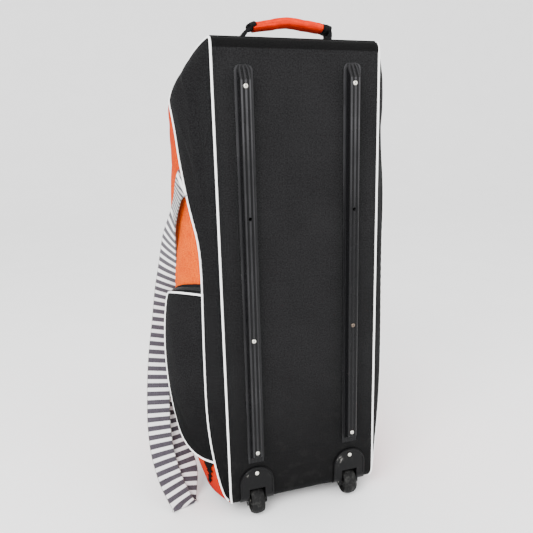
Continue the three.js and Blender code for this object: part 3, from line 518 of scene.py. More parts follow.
def through(table, at):
    """A smooth curve through a table's rows, its first column against the rest: in each stretch a
    cubic whose slopes at the ends follow the neighbouring rows, and which runs out straight at the
    table's two ends."""
    knot, value = table[:, 0], table[:, 1:]
    at = np.clip(np.asarray(at, float), knot[0], knot[-1])
    last = len(knot) - 1
    i = np.clip(np.searchsorted(knot, at, side="right"), 1, last)
    first, final = i < 2, i == last
    before, after = np.where(first, i, i - 2), np.where(final, i - 1, np.minimum(i + 1, last))
    wide = knot[i] - knot[i - 1]
    p = ((at - knot[i - 1]) / wide)[..., None]
    a = (0.5 * wide / (knot[i - 1] - knot[before]))[..., None]
    b = (0.5 * wide / (knot[after] - knot[i]))[..., None]
    return (
        value[before] * (-a * p**3 + 2 * a * p**2 - a * p)
        + value[i - 1] * ((1 + a) * p**3 - (1.5 + 2 * a) * p**2 + (a - 0.5) * p + 1)
        + value[i] * (-(1 + b) * p**3 + (1.5 + b) * p**2 + 0.5 * p)
        + value[after] * (b * p**3 - b * p**2)
    )


def section(height):
    """Half width, depth of the widest point, depth of the far side, angle at the base panel's edge
    and near radius of the wall's section at a height."""
    half, widest, depth = np.moveaxis(through(STATIONS, height), -1, 0)
    start = np.arcsin(base_half(height) / half)
    return half, widest, depth, start, (widest - fold_depth(height)) / np.cos(start)


def wall(height, share):
    """The right-hand wall. At each height it leaves the base panel's edge (share 0) along an ellipse
    to its widest point (share 0.35), and rounds the far side on a squarer curve, cosine and sine to
    the power 0.8, to the middle (share 1). Upper sections tip back with the handle end."""
    height, share = np.broadcast_arrays(np.asarray(height, float), np.asarray(share, float))
    half, widest, depth, start, near = section(height)
    first = start + (np.pi / 2 - start) * share / NEAR_SHARE
    second = np.clip(np.pi / 2 * (share - NEAR_SHARE) / (1 - NEAR_SHARE), 0, np.pi / 2)
    close = share < NEAR_SHARE
    x = np.where(close, half * np.sin(first), half * np.maximum(np.cos(second), 0) ** FAR_POWER)
    far = widest + (depth - widest) * np.sin(second) ** FAR_POWER
    y = np.where(close, widest - near * np.cos(first), far)
    return np.stack([x, y, settled(height) + tipped(height) * y], -1)


def share_at_depth(height, depth):
    """The wall's share at which it reaches a depth: the inverse of the two curves."""
    _, widest, deepest, start, near = section(height)
    first = np.arccos(np.clip((widest - depth) / near, 0, 1))
    beyond = np.clip((depth - widest) / (deepest - widest), 0, 1)
    second = np.arcsin(beyond ** (1 / FAR_POWER))
    close = NEAR_SHARE * np.maximum(first - start, 0) / (np.pi / 2 - start)
    return np.where(depth < widest, close, NEAR_SHARE + (1 - NEAR_SHARE) * second / (np.pi / 2))


def share_at_half_width(height, half_width):
    """The wall's share at which its far part is that far from the middle."""
    second = np.arccos(np.clip(half_width / section(height)[0], 0, 1) ** (1 / FAR_POWER))
    return NEAR_SHARE + (1 - NEAR_SHARE) * second / (np.pi / 2)


def share_beyond(height, share, distance):
    """The share that lies a distance further round the section."""
    nudge = 0.01
    speed = np.linalg.norm(wall(height, share + nudge) - wall(height, share), axis=-1) / nudge
    return share + distance / speed


def seam_depth(height):
    """Depth of the curved seam between gusset and cover."""
    return through(CURVED_SEAM, height)[..., 0]


def seam_share(height):
    """The wall's share at the curved seam."""
    return share_at_depth(height, seam_depth(height))


def seam_point(height):
    """A point of the curved seam."""
    return wall(height, seam_share(height))


def seam_slant(height):
    """How much wider a gap across the section is where the seam runs aslant."""
    along = unit(seam_point(height + 1) - seam_point(height))
    return 1 / np.maximum(along[..., 2], 0.3)


def puckered(distance, along, period, height, reach, phase):
    """Small ripples beside a sewn seam: a sine along it with a slower beat, dying away with distance."""
    beat = 0.6 + 0.4 * np.sin(along / (3.7 * period) + phase)
    return height * np.exp(-distance / reach) * np.sin(2 * np.pi * along / period + phase) * beat


SIDES = {"right": 1, "left": -1}
outwards = {side: np.array([sign, 0.0, 0.0]) for side, sign in SIDES.items()}
heights = np.unique(np.concatenate([
    18 + 12 * np.linspace(0, 1, 10), np.linspace(30, 860, 150), np.linspace(862, TOP_ROW, 14)
]))
rim = share_beyond(heights, 0, TUCK * (1 + fold_depth(heights) / FOLD_TOP))
behind = share_beyond(heights, seam_share(heights), -TUCK * seam_slant(heights))
t = np.linspace(0, 1, 41)
gusset = wall(heights[:, None], rim[:, None] + (behind - rim)[:, None] * t)
z = np.broadcast_to(heights[:, None], gusset.shape[:2])
off_rim = runs(gusset, 1) * 1000
off_seam = off_rim[:, -1:] - off_rim
GUSSET_CREASES = {  # height, distance from the rim, turn, half length, half width, rise
    "left": [(800, 50, 22, 70, 7, 3.4), (770, 34, 4, 90, 7, -3.4), (715, 46, 10, 70, 7, 3.0),
             (838, 70, 38, 46, 7, -3.2), (640, 26, 3, 90, 8, -2.4), (690, 62, 14, 70, 7, -3.0),
             (600, 14, 8, 70, 6, 1.6), (740, 72, 26, 50, 6, 2.4),
             (300, 14, 0, 200, 8, 0.7), (60, 12, -8, 40, 6, 0.8)],
    "right": [(785, 56, 26, 60, 8, 1.8), (735, 38, 10, 90, 9, -1.6), (560, 20, 4, 110, 9, 1.0)],
}
LOW_BULGE = 1.6  # of both gussets' lower half
HIGH_BULGE = {"left": 1.6, "right": -3.4}  # of the upper half; the right one is drawn flat
for side, sign in SIDES.items():
    full = LOW_BULGE + (HIGH_BULGE[side] - LOW_BULGE) * eased(z, 480, 640)
    swell = np.sin(np.pi * t) * full * eased(z, 30, 120) * eased(-z, -900, -820)
    swell = swell + creased(z, off_rim, GUSSET_CREASES[side]) * np.sin(np.pi * t) ** 0.5
    swell = swell + puckered(off_seam, z, 17, 0.5, 7, sign) + puckered(off_rim, z, 19, 0.4, 6, 2 + sign)
    face = swollen(gusset * (sign, 1, 1), swell, outwards[side])
    chart = np.stack([runs(gusset, 1), z / 1000], 2)
    seam = np.stack([np.minimum(off_rim, off_seam) + TUCK, z], 2) / 1000
    piece = shell(f"{side}_gusset_cloth", face, swollen(face, -CLOTH, outwards[side]),
                  {"cloth": chart, "seam": seam})
    dressed(piece, black_cloth, [f"side_gusset_{side}"])

# Covers: orange woven polyester with a soft sheen, which make the sides and the far side of the bag
# from the curved seam round to the main zip. The weight in the bag draws them into broad folds.
# The third colour is painted shade, a deeper red towards the wheel end, and high_fall is painted shade that
# deepens the orange towards the handle end
ORANGE, FADED_ORANGE, PAINTED_LOW_ORANGE = (0.4, 0.02, 0.0), (0.72, 0.12, 0.0), (0.36, 0.004, 0.0)
orange_cloth = cloth_finish("orange_cloth", ORANGE, FADED_ORANGE, PAINTED_LOW_ORANGE, (0.45, 0.012, 0.001),
                            shine=0.02, streaks=0.2, grain=1.6, high_fall=0.45)
ZIP_EDGE = 15.0
heights = np.unique(np.concatenate([
    0.6 + 29.4 * np.linspace(0, 1, 12) ** 1.5, np.linspace(30, 860, 130), np.linspace(862, TOP_ROW, 14)
]))
start = share_beyond(heights, seam_share(heights), TUCK * seam_slant(heights))
rim = share_beyond(heights, 0, TUCK * (1 + fold_depth(heights) / FOLD_TOP))
start = np.maximum(start, rim)
stop = share_at_half_width(heights, ZIP_EDGE)
t = np.linspace(0, 1, 121)
cover = wall(heights[:, None], start[:, None] + (stop - start)[:, None] * t)
z = np.broadcast_to(heights[:, None], cover.shape[:2])
off_seam = runs(cover, 1) * 1000
off_zip = off_seam[:, -1:] - off_seam
COVER_CREASES = {  # height, distance from the curved seam, turn, half length, half width, rise
    "left": [(638, 44, 0, 34, 40, -4.0), (788, 22, 0, 18, 16, -5.0), (760, 60, 35, 90, 16, 2.0),
             (690, 90, 20, 120, 18, -2.2), (600, 40, 12, 80, 12, 1.4), (560, 120, -10, 120, 20, 2.4),
             (470, 50, 60, 60, 12, -1.4), (520, 26, 18, 60, 9, 1.1),
             (330, 240, 8, 160, 22, -2.4), (200, 200, -24, 120, 20, 2.2), (60, 40, 50, 40, 9, 1.2),
             (90, 240, 30, 90, 18, -2.0), (820, 220, -30, 80, 16, 2.0), (640, 300, 5, 150, 24, -2.2)],
    "right": [(740, 70, 30, 90, 16, -2.0), (660, 110, 16, 120, 18, 2.2), (580, 46, 10, 80, 12, -1.3),
              (520, 150, -12, 120, 20, 2.0), (300, 250, 10, 160, 22, 2.4), (190, 190, -20, 120, 20, -2.2),
              (70, 60, 44, 50, 10, 1.2), (100, 250, 28, 90, 18, 2.0), (830, 210, -26, 80, 16, -2.0)],
}
STRETCHES = ("cover", "corner_cover_low", "corner_cover", "corner_cover_high", "far_cover")
for side, sign in SIDES.items():
    swell = creased(z, off_seam, COVER_CREASES[side]) * eased(off_seam, 0, 25) * eased(off_zip, 0, 30)
    swell = swell * eased(z, 4, 40) * eased(-z, -900, -850)
    swell = swell + puckered(off_seam, z, 16, 0.7, 8, 1.3 * sign)
    face = swollen(cover * (sign, 1, 1), swell, outwards[side] + (0, 0.7, 0))
    chart = np.stack([runs(cover, 1), z / 1000], 2)
    seam = np.stack([np.minimum(off_seam, off_zip) + TUCK, z], 2) / 1000
    piece = shell(f"{side}_cover_cloth", face, swollen(face, -CLOTH, outwards[side] + (0, 0.7, 0)),
                  {"cloth": chart, "seam": seam})
    dressed(piece, orange_cloth, [f"{stretch}_{side}" for stretch in STRETCHES])

# Main zip: a woven tape down the middle of the far side with a coiled chain, sewn between the two
# covers. It closes the bag, and the photograph doesn't show it, so it stays plain.
ZIP_HALF, CHAIN_HALF, CHAIN_RISE = 14.6, 3.5, 2.0


def zip_finish(name, pitch):
    """Black zip: a woven tape, and a chain of teeth set across it. The seam map gives the
    distance from the chain's middle and the way along it."""
    finish, tree, socket = finish_for(name, {"Specular IOR Level": 0.08})
    cloth, edge = charted(tree, "cloth"), parts(tree, charted(tree, "seam"))
    woven = placed_group(tree, weave, {"Cloth": cloth, "Pitch": 0.0009})
    wave = maths(tree, "SINE", maths(tree, "MULTIPLY", edge[1], 2 * np.pi / pitch))
    teeth, chain = ranged(tree, wave, -0.5, 0.5), ranged(tree, edge[0], 0.0034, 0.0029)
    tape = shades(tree, woven["Thread"], (0.0, (0.004, 0.004, 0.005)), (1.0, (0.014, 0.014, 0.015)))
    tooth = shades(tree, teeth, (0.0, (0.002, 0.002, 0.002)), (1.0, (0.02, 0.02, 0.021)))
    rough = maths(tree, "SUBTRACT", 0.75, maths(tree, "MULTIPLY", chain, 0.4))
    raised = added(tree, maths(tree, "MULTIPLY", chain, teeth), woven["Height"], 0.2)
    joined(tree, socket, mixed(tree, chain, tape, tooth), rough, raised, 0.8, 0.001)
    return finish


zip_cloth = zip_finish("zip_tape", 0.003)
across = np.linspace(-ZIP_HALF, ZIP_HALF, 31)
heights = np.linspace(0.6, TOP_ROW, 140)
tape = wall(heights[:, None], share_at_half_width(heights[:, None], np.abs(across)[None]))
rise = CHAIN_RISE * (1 - eased(np.abs(across), CHAIN_HALF - 0.6, CHAIN_HALF + 1))
tape = np.stack([np.broadcast_to(across, tape.shape[:2]), tape[..., 1], tape[..., 2]], 2)
face = tape + np.array([0, 1.0, 0]) * np.broadcast_to(rise, tape.shape[:2])[..., None]
chart = np.stack([np.broadcast_to(across, tape.shape[:2]) / 1000, runs(tape, 0)], 2)
seam = np.stack([np.abs(chart[..., 0]), chart[..., 1]], 2)
main_zip = shell("main_zip_tape", face, tape - (0, CLOTH, 0), {"cloth": chart, "seam": seam})
dressed(main_zip, zip_cloth, ["main_zip"])

# Piping: cord wrapped in a bias strip of white coated cloth and caught in the seams. One length runs
# up each edge of the base panel and on round the handle end, another follows the curved seam.
CORD = 2.1  # radius


def smoothed(path, rounds):
    """A path with its corners rounded: each pass puts every inner point midway to the mean of its
    neighbours."""
    for _ in range(rounds):
        path = np.concatenate([path[:1], path[1:-1] / 2 + (path[:-2] + path[2:]) / 4, path[-1:]])
    return path


def spaced(path, step):
    """A path's points set evenly, about a step apart."""
    run = np.concatenate([[0], np.cumsum(np.linalg.norm(np.diff(path, axis=0), axis=1))])
    even = np.linspace(0, run[-1], int(run[-1] / step) + 2)
    return np.stack([np.interp(even, run, path[:, i]) for i in range(3)], 1)


def turned(name, points):
    """A closed round surface from rings of points: a face for each cell, the last column joined to
    the first. The end rings are single points, and their doubles are merged."""
    rows, columns = points.shape[:2]
    number = np.arange(rows * columns).reshape(rows, columns)
    number = np.hstack([number, number[:, :1]])
    quads = np.stack([number[:-1, :-1], number[:-1, 1:], number[1:, 1:], number[1:, :-1]], 2).reshape(-1, 4)
    wrapped = np.concatenate([points, points[:, :1]], 1)
    chart = np.stack([runs(wrapped, 1), np.broadcast_to(runs(wrapped, 0)[:, :1], wrapped.shape[:2])], 2)
    spot = [chart[:-1, :-1], chart[:-1, 1:], chart[1:, 1:], chart[1:, :-1]]
    piece = made_of(name, points.reshape(-1, 3), quads, {"cloth": np.stack(spot, 2).reshape(-1, 4, 2)})
    work = bmesh.new()
    work.from_mesh(piece.data)
    bmesh.ops.remove_doubles(work, verts=work.verts, dist=1e-7)
    work.to_mesh(piece.data)
    work.free()
    return piece


def tube(name, path, radius, aside, sides=14):
    """A round cord along a path: rings whose two directions are the part of aside that is square to
    the path and the square of both, with ends that round off to a point."""
    way = unit(np.gradient(path, axis=0))
    one = unit(aside - (aside * way).sum(1, keepdims=True) * way)
    two = np.cross(way, one)
    end = np.array([0, 0.5, 0.87, 1.0])
    back = radius * (1 - np.array([0, 0.13, 0.5, 1.0]))
    size = np.concatenate([end, np.ones(len(path)), end[::-1]]) * radius
    pick = np.concatenate([[0] * 4, np.arange(len(path)), [len(path) - 1] * 4])
    shift = np.concatenate([-back, np.zeros(len(path)), back[::-1]])
    angle = np.linspace(0, 2 * np.pi, sides, endpoint=False)
    ring = one[pick][:, None] * np.cos(angle)[:, None] + two[pick][:, None] * np.sin(angle)[:, None]
    points = path[pick][:, None] + way[pick][:, None] * shift[:, None, None] + ring * size[:, None, None]
    return turned(name, points)


def piping_finish():
    """White coated cord: a fine slanting weave, a little grey where hands and floors have worn it."""
    finish, tree, socket = finish_for("white_piping", {"Specular IOR Level": 0.45, "Sheen Weight": 0.1})
    slant = wire(tree, "Mapping", {"Vector": charted(tree, "cloth"), "Rotation": (0, 0, 0.78)}).outputs[0]
    woven = placed_group(tree, weave, {"Cloth": slant, "Pitch": 0.0008})
    marks = noise(tree, wire(tree, "TexCoord").outputs["Object"], 45.0, 5.0)
    plain = shades(tree, woven["Height"], (0.0, (0.88, 0.88, 0.87)), (1.0, (0.97, 0.97, 0.965)))
    colour = mixed(tree, ranged(tree, marks, 0.55, 0.9, 0.0, 0.25), plain, (0.52, 0.5, 0.46, 1))
    rough = ranged(tree, marks, 0.0, 1.0, 0.4, 0.6)
    joined(tree, socket, colour, rough, woven["Height"], 0.25, 0.0002)
    return finish


white_piping = piping_finish()
edge_heights = np.concatenate([
    FOLD_BOTTOM * (1 - np.cos(np.linspace(0.1, np.pi / 2, 12))), np.linspace(26, TOP_FOLD, 120),
    TOP_FOLD + (LENGTH - TOP_FOLD) * np.sin(np.linspace(0.1, np.pi / 2, 10)),
])
end_shares = np.linspace(0.004, share_at_half_width(LENGTH, 0.4), 90)
rim_path = np.concatenate([wall(edge_heights, 0.0), wall(LENGTH, end_shares)])
rim_path = smoothed(spaced(rim_path, 4), 3)
seam_path = smoothed(spaced(seam_point(np.linspace(11, TOP_ROW - 3, 220)), 4), 2)
BAG_MIDDLE = np.array([0, 150, 0])
PIPINGS = [  # name, the frame's node, path
    ("edge_piping", "rim_piping", rim_path), ("curved_seam_piping", "swoosh_piping", seam_path)
]
for side, sign in SIDES.items():
    for name, node, path in PIPINGS:
        aside = path * (1, 1, 0) - BAG_MIDDLE
        piece = tube(f"{side}_{name}", path * (sign, 1, 1), CORD, aside * (sign, 1, 1))
        dressed(piece, white_piping, [f"{node}_{side}"])

# End panels: black cloth ovals sewn to the ends of the walls. The handle end slopes back and bulges a
# little. The wheel end sags to a flat patch on the floor behind the wheels, clear of the housings.
END_CROWN = 12.0
BEHIND_FOLD = 0.4  # gap between a fold of the base panel and the end panel's front edge
STITCH_TURN = 0.17  # metres of stitching to each radian round an end


def oval(height, front, inset, middle):
    """Half width of an end's outline at each depth: the wall's section at that height, drawn in by
    inset, with a straight front edge. Gives depths from front to far side and half widths."""
    edge = wall(height, np.linspace(0, 1, 400))[:, :2]
    inward = middle - edge
    edge = edge + inset * inward / np.linalg.norm(inward, axis=1, keepdims=True)
    return np.concatenate([[front], edge[:, 1]]), np.concatenate([edge[:1, 0], edge[:, 0]])


def reach(x, y, outline, middle):
    """Share of the way from an end's middle to its outline at which points lie, by their bearing."""
    depth, half = outline
    front = np.linspace(0, half[0], 60)[:-1]
    loop_x, loop_y = np.concatenate([front, half]), np.concatenate([np.full(59, depth[0]), depth])
    bearing = np.arctan2(loop_x, middle[1] - loop_y)
    order = np.argsort(bearing)
    far = np.hypot(loop_x, loop_y - middle[1])[order]
    return np.hypot(x, y - middle[1]) / np.interp(np.arctan2(np.abs(x), middle[1] - y), bearing[order], far)


top_middle = np.array([0.0, 150.0])
top_outline = oval(LENGTH, FOLD_TOP + BEHIND_FOLD, TUCK, top_middle)


def top_height(x, y):
    """The handle end's surface: its slope, and a crown that falls with the square of the share of the
    way out to the outline."""
    share = np.minimum(reach(x, y, top_outline, top_middle), 1)
    return LENGTH - END_SLOPE * y + END_CROWN * (1 - share**2)


def half_width_at(depth, outline):
    """An outline's half width at a depth."""
    return np.interp(depth, outline[0], outline[1])


s = np.sin(np.linspace(-np.pi / 2, np.pi / 2, 61))
step = (1 - np.cos(np.linspace(0, np.pi, 70))) / 2
deep = FOLD_TOP + BEHIND_FOLD + (top_outline[0][-1] - FOLD_TOP - 0.9) * step
x = half_width_at(deep, top_outline)[:, None] * s
y = np.broadcast_to(deep[:, None], x.shape)
END_CREASES = [(110, -60, 20, 60, 9, 0.9), (160, 40, -15, 80, 10, -0.9), (70, 20, 85, 70, 8, 0.6)]
lid = np.stack([x, y, top_height(x, y) + creased(y, x, END_CREASES) * (1 - np.abs(s))], 2)
up = np.array([0.0, 0.0, 1.0])
chart = np.stack([x, y], 2) / 1000
edge = (1 - np.minimum(reach(x, y, top_outline, top_middle), 1)) * np.hypot(x, y - top_middle[1])
bearing = np.arctan2(x, y - top_middle[1])
seam = np.stack([(edge + TUCK) / 1000, bearing * STITCH_TURN], 2)
piece = shell("handle_end_cloth", lid, lid - up * CLOTH, {"cloth": chart, "seam": seam})
dressed(piece, black_cloth, ["handle_end_panel"])

PATCH, FLOOR = 0.45, -36.0  # share of the way out that lies flat, and the floor it lies on
HOUSING_BACK, HOUSING_NEAR, HOUSING_FAR = 52.8, 67.4, 140.6  # edges of the hole for a housing
WIDEST_AT = 150.0  # depth from which the columns draw together
end_middle = np.array([0.0, 190.0])
end_outline = oval(0.0, FOLD_BOTTOM + BEHIND_FOLD, 0.0, end_middle)
deep = np.unique(np.concatenate([
    np.linspace(FOLD_BOTTOM + BEHIND_FOLD, HOUSING_BACK, 8), np.linspace(HOUSING_BACK, 200, 40),
    200 + (end_outline[0][-1] - 200.5) * np.sin(np.linspace(0, np.pi / 2, 30)),
]))
half = half_width_at(deep, end_outline)
squeeze = np.minimum(1, half / half_width_at(WIDEST_AT, end_outline))
squeeze = np.where(deep < WIDEST_AT, 1, squeeze)
inner = np.concatenate([np.linspace(0, HOUSING_NEAR, 14), np.linspace(HOUSING_NEAR, HOUSING_FAR, 15)[1:]])
outer_share = np.linspace(0, 1, 11)[1:]
inner_x = inner * squeeze[:, None]
outer_x = inner_x[:, -1:] + (half[:, None] - inner_x[:, -1:]) * outer_share
x = np.hstack([inner_x, outer_x])
x = np.hstack([-x[:, :0:-1], x])
y = np.broadcast_to(deep[:, None], x.shape)
share = np.minimum(reach(x, y, end_outline, end_middle), 1)
fall = (1 + np.cos(np.pi * np.maximum(share - PATCH, 0) / (1 - PATCH))) / 2
sag = np.stack([x, y, -SUNK - CLOTH + (FLOOR + SUNK + CLOTH) * fall], 2)
columns = np.concatenate([inner, HOUSING_FAR + outer_share])
columns = np.concatenate([-columns[:0:-1], columns])
between = np.abs((columns[1:] + columns[:-1]) / 2)
housed = (between > HOUSING_NEAR) & (between < HOUSING_FAR)
kept = ~(housed[None] & ((deep[1:] + deep[:-1]) / 2 < HOUSING_BACK)[:, None])
chart = np.stack([x, y], 2) / 1000
seam = np.stack([(1 - share) * 0.15 + 0.002, np.arctan2(x, y - end_middle[1]) * STITCH_TURN], 2)
piece = shell("wheel_end_cloth", sag, sag + up * CLOTH, {"cloth": chart, "seam": seam}, kept)
dressed(piece, black_cloth, ["wheel_end_panel"])

# Side pocket, on the left: a black cloth face piped in white, which stands off the wall at its far
# edge on a black cloth gusset. A zip lies along the top of the gusset.
POCKET = {"near": 5.2, "wide": 112.0, "low": 84.0, "low_rise": 58.0, "high": 441.0, "high_fall": 18.0,
          "narrowing": 6.0}
POCKET_LIFT, POCKET_EDGE = 24.0, 2.6  # how far the face stands off at its far edge and at the seam
FOOT = {"top": 21.0, "top_fall": 14.0, "far": 13.0, "low": 10.0}  # how far the gusset's foot lies out
POCKET_SEAM, POCKET_GAP = 3.6, 0.4  # from the piping's middle to the gusset's first row
FULL_DROP, BELOW_PIPING = 0.625, 0.4  # that row is below the piping from this u on, and this much nearer
SEAM_SIDE = -0.045  # the face's near edge lies under the curved seam's piping
POCKET_TALL = 300.0  # the face's height, roughly, for its creases and weave


def pocket_flat(u, v):
    """Depth and height on the wall of the pocket's point: u runs from the curved seam to the far edge
    and v from the slanting bottom to the top."""
    low = POCKET["low"] + POCKET["low_rise"] * np.maximum(u, 0) ** 2.2
    high = POCKET["high"] - POCKET["high_fall"] * np.maximum(u, 0) ** 2
    height = low + (high - low) * v
    return seam_depth(height) + POCKET["near"] + (POCKET["wide"] - POCKET["narrowing"] * v) * u, height


def pocket_lift(u, v):
    """How far the pocket's face stands off the wall: a quarter sine across, times a fullness that is
    0.85 at the bottom, 0.6 at the top and up to 1.1 between them."""
    ends = 0.85 - 0.25 * v
    fuller = ends + (1.1 - ends) * np.sin(np.pi * np.clip(v, 0, 1)) ** 0.6
    return POCKET_EDGE + POCKET_LIFT * np.sin(u * np.pi / 2) * fuller


def on_wall(depth, height, lift):
    """Points of the right wall at a depth and height, moved out along the wall's normal."""
    share, nudge = share_at_depth(height, depth), 0.004
    point = wall(height, share)
    across = wall(height, share + nudge) - wall(height, share - nudge)
    upward = wall(height + 1, share_at_depth(height + 1, depth)) - point
    return point + unit(np.cross(across, upward)) * np.asarray(lift)[..., None]


def pocket_point(u, v):
    """A point of the pocket's face."""
    return on_wall(*pocket_flat(u, v), pocket_lift(u, v))


top_steps, low_steps = np.linspace(SEAM_SIDE, 0.955, 8), np.linspace(0.95, SEAM_SIDE, 7)
far_steps = np.linspace(0.975, 0.04, 7)
RIM_ROWS = np.array([  # u, v, direction in which the gusset's foot lies, its distance
    *[(u, 1, 0, 1, FOOT["top"] - FOOT["top_fall"] * u) for u in top_steps],
    (0.992, 0.994, 0.7, 0.7, FOOT["far"]),
    *[(1, v, 1, 0, FOOT["far"]) for v in far_steps],
    (1, 0, 0.85, -0.5, FOOT["low"]),
    *[(u, 0, 0.6, -0.8, FOOT["low"]) for u in low_steps],
])
RIM_ROWS = np.column_stack([np.arange(len(RIM_ROWS)), RIM_ROWS])  # first, the place along the rim


def pocket_gusset(place, share):
    """The gusset between the face's piping (share 0) and the wall (share 1), at a place along the rim:
    the foot lies out from the rim by its own distance, and the lift falls from the face's to the
    wall's."""
    u, v, out_y, out_z, foot = np.moveaxis(through(RIM_ROWS, place), -1, 0)
    u, v = np.clip(u, SEAM_SIDE, 1), np.clip(v, 0, 1)
    drop = np.clip(u / FULL_DROP, 0, 1)
    begin = POCKET_GAP + POCKET_SEAM * (1 + (BELOW_PIPING - 1) * drop) - 2
    run = begin + (foot - begin) * share
    top = pocket_lift(u, v) - POCKET_SEAM * drop * 0.6
    depth, height = pocket_flat(u, v)
    lift = np.maximum(top + (POCKET_EDGE - top) * share, POCKET_EDGE * 0.8)
    return on_wall(depth + out_y * run, height + out_z * run, lift)


u, v = np.meshgrid(np.linspace(SEAM_SIDE, 0.98, 52), np.linspace(0.006, 0.994, 90))
pocket = pocket_point(u, v)
off_seam, off_top = runs(pocket, 1) * 1000, (1 - v) * POCKET_TALL
off_far, off_low = off_seam[:, -1:] - off_seam, v * POCKET_TALL
POCKET_CREASES = [  # height, distance from the seam, turn, half length, half width, rise
    (286, 92, -12, 14, 30, -1.2), (270, 60, 70, 45, 7, 1.1), (255, 20, 8, 50, 6, 0.7),
    (150, 60, 20, 110, 18, 1.6), (60, 70, 40, 50, 10, -1.0), (28, 34, 62, 40, 8, 0.8),
]
MIRROR, left_out = np.array([-1, 1, 1]), outwards["left"]
swell = creased(off_low, off_seam, POCKET_CREASES)
swell = swell * eased(np.minimum(off_far, np.minimum(off_top, off_low)), 2, 24) * eased(off_seam, 2, 18)
nearest = np.minimum(np.minimum(off_seam, off_top + 1), np.minimum(off_far, off_low + 1))
swell = swell + puckered(nearest, off_low + off_seam, 15, 0.45, 6, -1)
face = swollen(pocket * MIRROR, swell, left_out)
chart = np.stack([off_seam, off_low], 2) / 1000
seam = np.stack([nearest + TUCK, off_low + off_seam], 2) / 1000
piece = shell("pocket_cloth", face, swollen(face, -CLOTH, left_out), {"cloth": chart, "seam": seam})
dressed(piece, black_cloth, ["pocket_face"])

rim_steps = np.linspace(0, len(RIM_ROWS) - 1, 240)
band = pocket_gusset(*np.meshgrid(rim_steps, np.linspace(0, 1, 15), indexing="ij")) * MIRROR
chart = np.stack([runs(band, 1), runs(band, 0)], 2)
piece = shell("pocket_gusset_cloth", band, swollen(band, -CLOTH, left_out + (0, 0.4, 0)),
              {"cloth": chart, "seam": chart + (0.002, 0)})
dressed(piece, black_cloth, ["pocket_gusset"])

zip_steps = np.linspace(0, len(top_steps) - 1, 160)
strip = pocket_gusset(*np.meshgrid(zip_steps, np.linspace(0.3, 0.72, 15), indexing="ij")) * MIRROR
width = runs(strip, 1)
from_middle = np.abs(width - width[:, -1:] / 2)
rise = 0.4 + 1.6 * (1 - eased(from_middle * 1000, 1.6, 3.2))
charts = {"cloth": np.stack([width, runs(strip, 0)], 2), "seam": np.stack([from_middle, runs(strip, 0)], 2)}
zip_out = left_out * 0.3 + up
piece = shell("pocket_zip_chain", swollen(strip, rise, zip_out), swollen(strip, -0.4, zip_out), charts)
dressed(piece, zip_finish("pocket_zip_tape", 0.0024), ["pocket_zip"])

rim_places = through(RIM_ROWS, rim_steps)[:, :2]
rim_u, rim_v = np.clip(rim_places[:, 0], SEAM_SIDE, 1), np.clip(rim_places[:, 1], 0, 1)
rim_path = smoothed(spaced(pocket_point(rim_u, rim_v) * MIRROR, 4), 2)
piece = tube("pocket_edge_piping", rim_path, CORD, np.broadcast_to(left_out + 0.05, rim_path.shape))
dressed(piece, white_piping, ["pocket_piping"])

# Tape below the pocket: the loose end of a black binding tape, sewn in under the pocket's lower edge
# and lying on the cover. Its edges are crinkled.
TAPE = np.array([  # place, depth, height, half width
    (0, 55, 88, 15), (1, 51, 68, 10), (2, 50, 54, 6), (3, 56, 40, 6), (4, 63, 26, 4.5),
])
place, share = np.meshgrid(np.linspace(0, 4, 80), np.linspace(-1, 1, 17), indexing="ij")
depth, height, half = np.moveaxis(through(TAPE, place), -1, 0)
crinkle = 2.2 * np.sin(place * 7.3 + 1.5 * share) + 1.2 * np.sin(place * 15.1 + 2 * share)
rise = 1.0 + 0.8 * np.abs(np.sin(place * 5.1 + 2 * share))
strip = on_wall(depth + half * share + crinkle, height - 0.3 * half * share, rise) * MIRROR
chart = np.stack([runs(strip, 1), runs(strip, 0)], 2)
charts = {"cloth": chart, "seam": chart + (0.02, 0)}
piece = shell("pocket_tape_end", swollen(strip, 1.0, left_out), strip, charts)
dressed(piece, black_cloth)

# Skid rails: black plastic runners moulded with three ribs, a flange all round and a ramp at each end,
# held to the board by rivets. One hole in each rail has no rivet. The ribs' crests are worn pale, with
# a painted highlight on top of the wear, stronger on the left rail and near the top.
RAIL_X, RAIL_HALF, RAIL_LOW, RAIL_TOP, RAIL_CORNER = 104.0, 17.0, 88.0, 860.0, 12.0
FLANGE, RIDGE, GROOVE = 3.0, 18.0, 1.4
TOP_RAMP, TOP_RUN, LOW_RAMP, LOW_RUN = 857.0, 25.0, 99.0, 10.0  # where each ramp starts, its length
RIVET_HEIGHTS, HOLE_HEIGHT, HOLE_RADIUS = (822.0, 355.0, 117.0), 590.0, 3.4
SEAT_RADIUS, SEAT = 5.2, RIDGE - GROOVE - 0.4


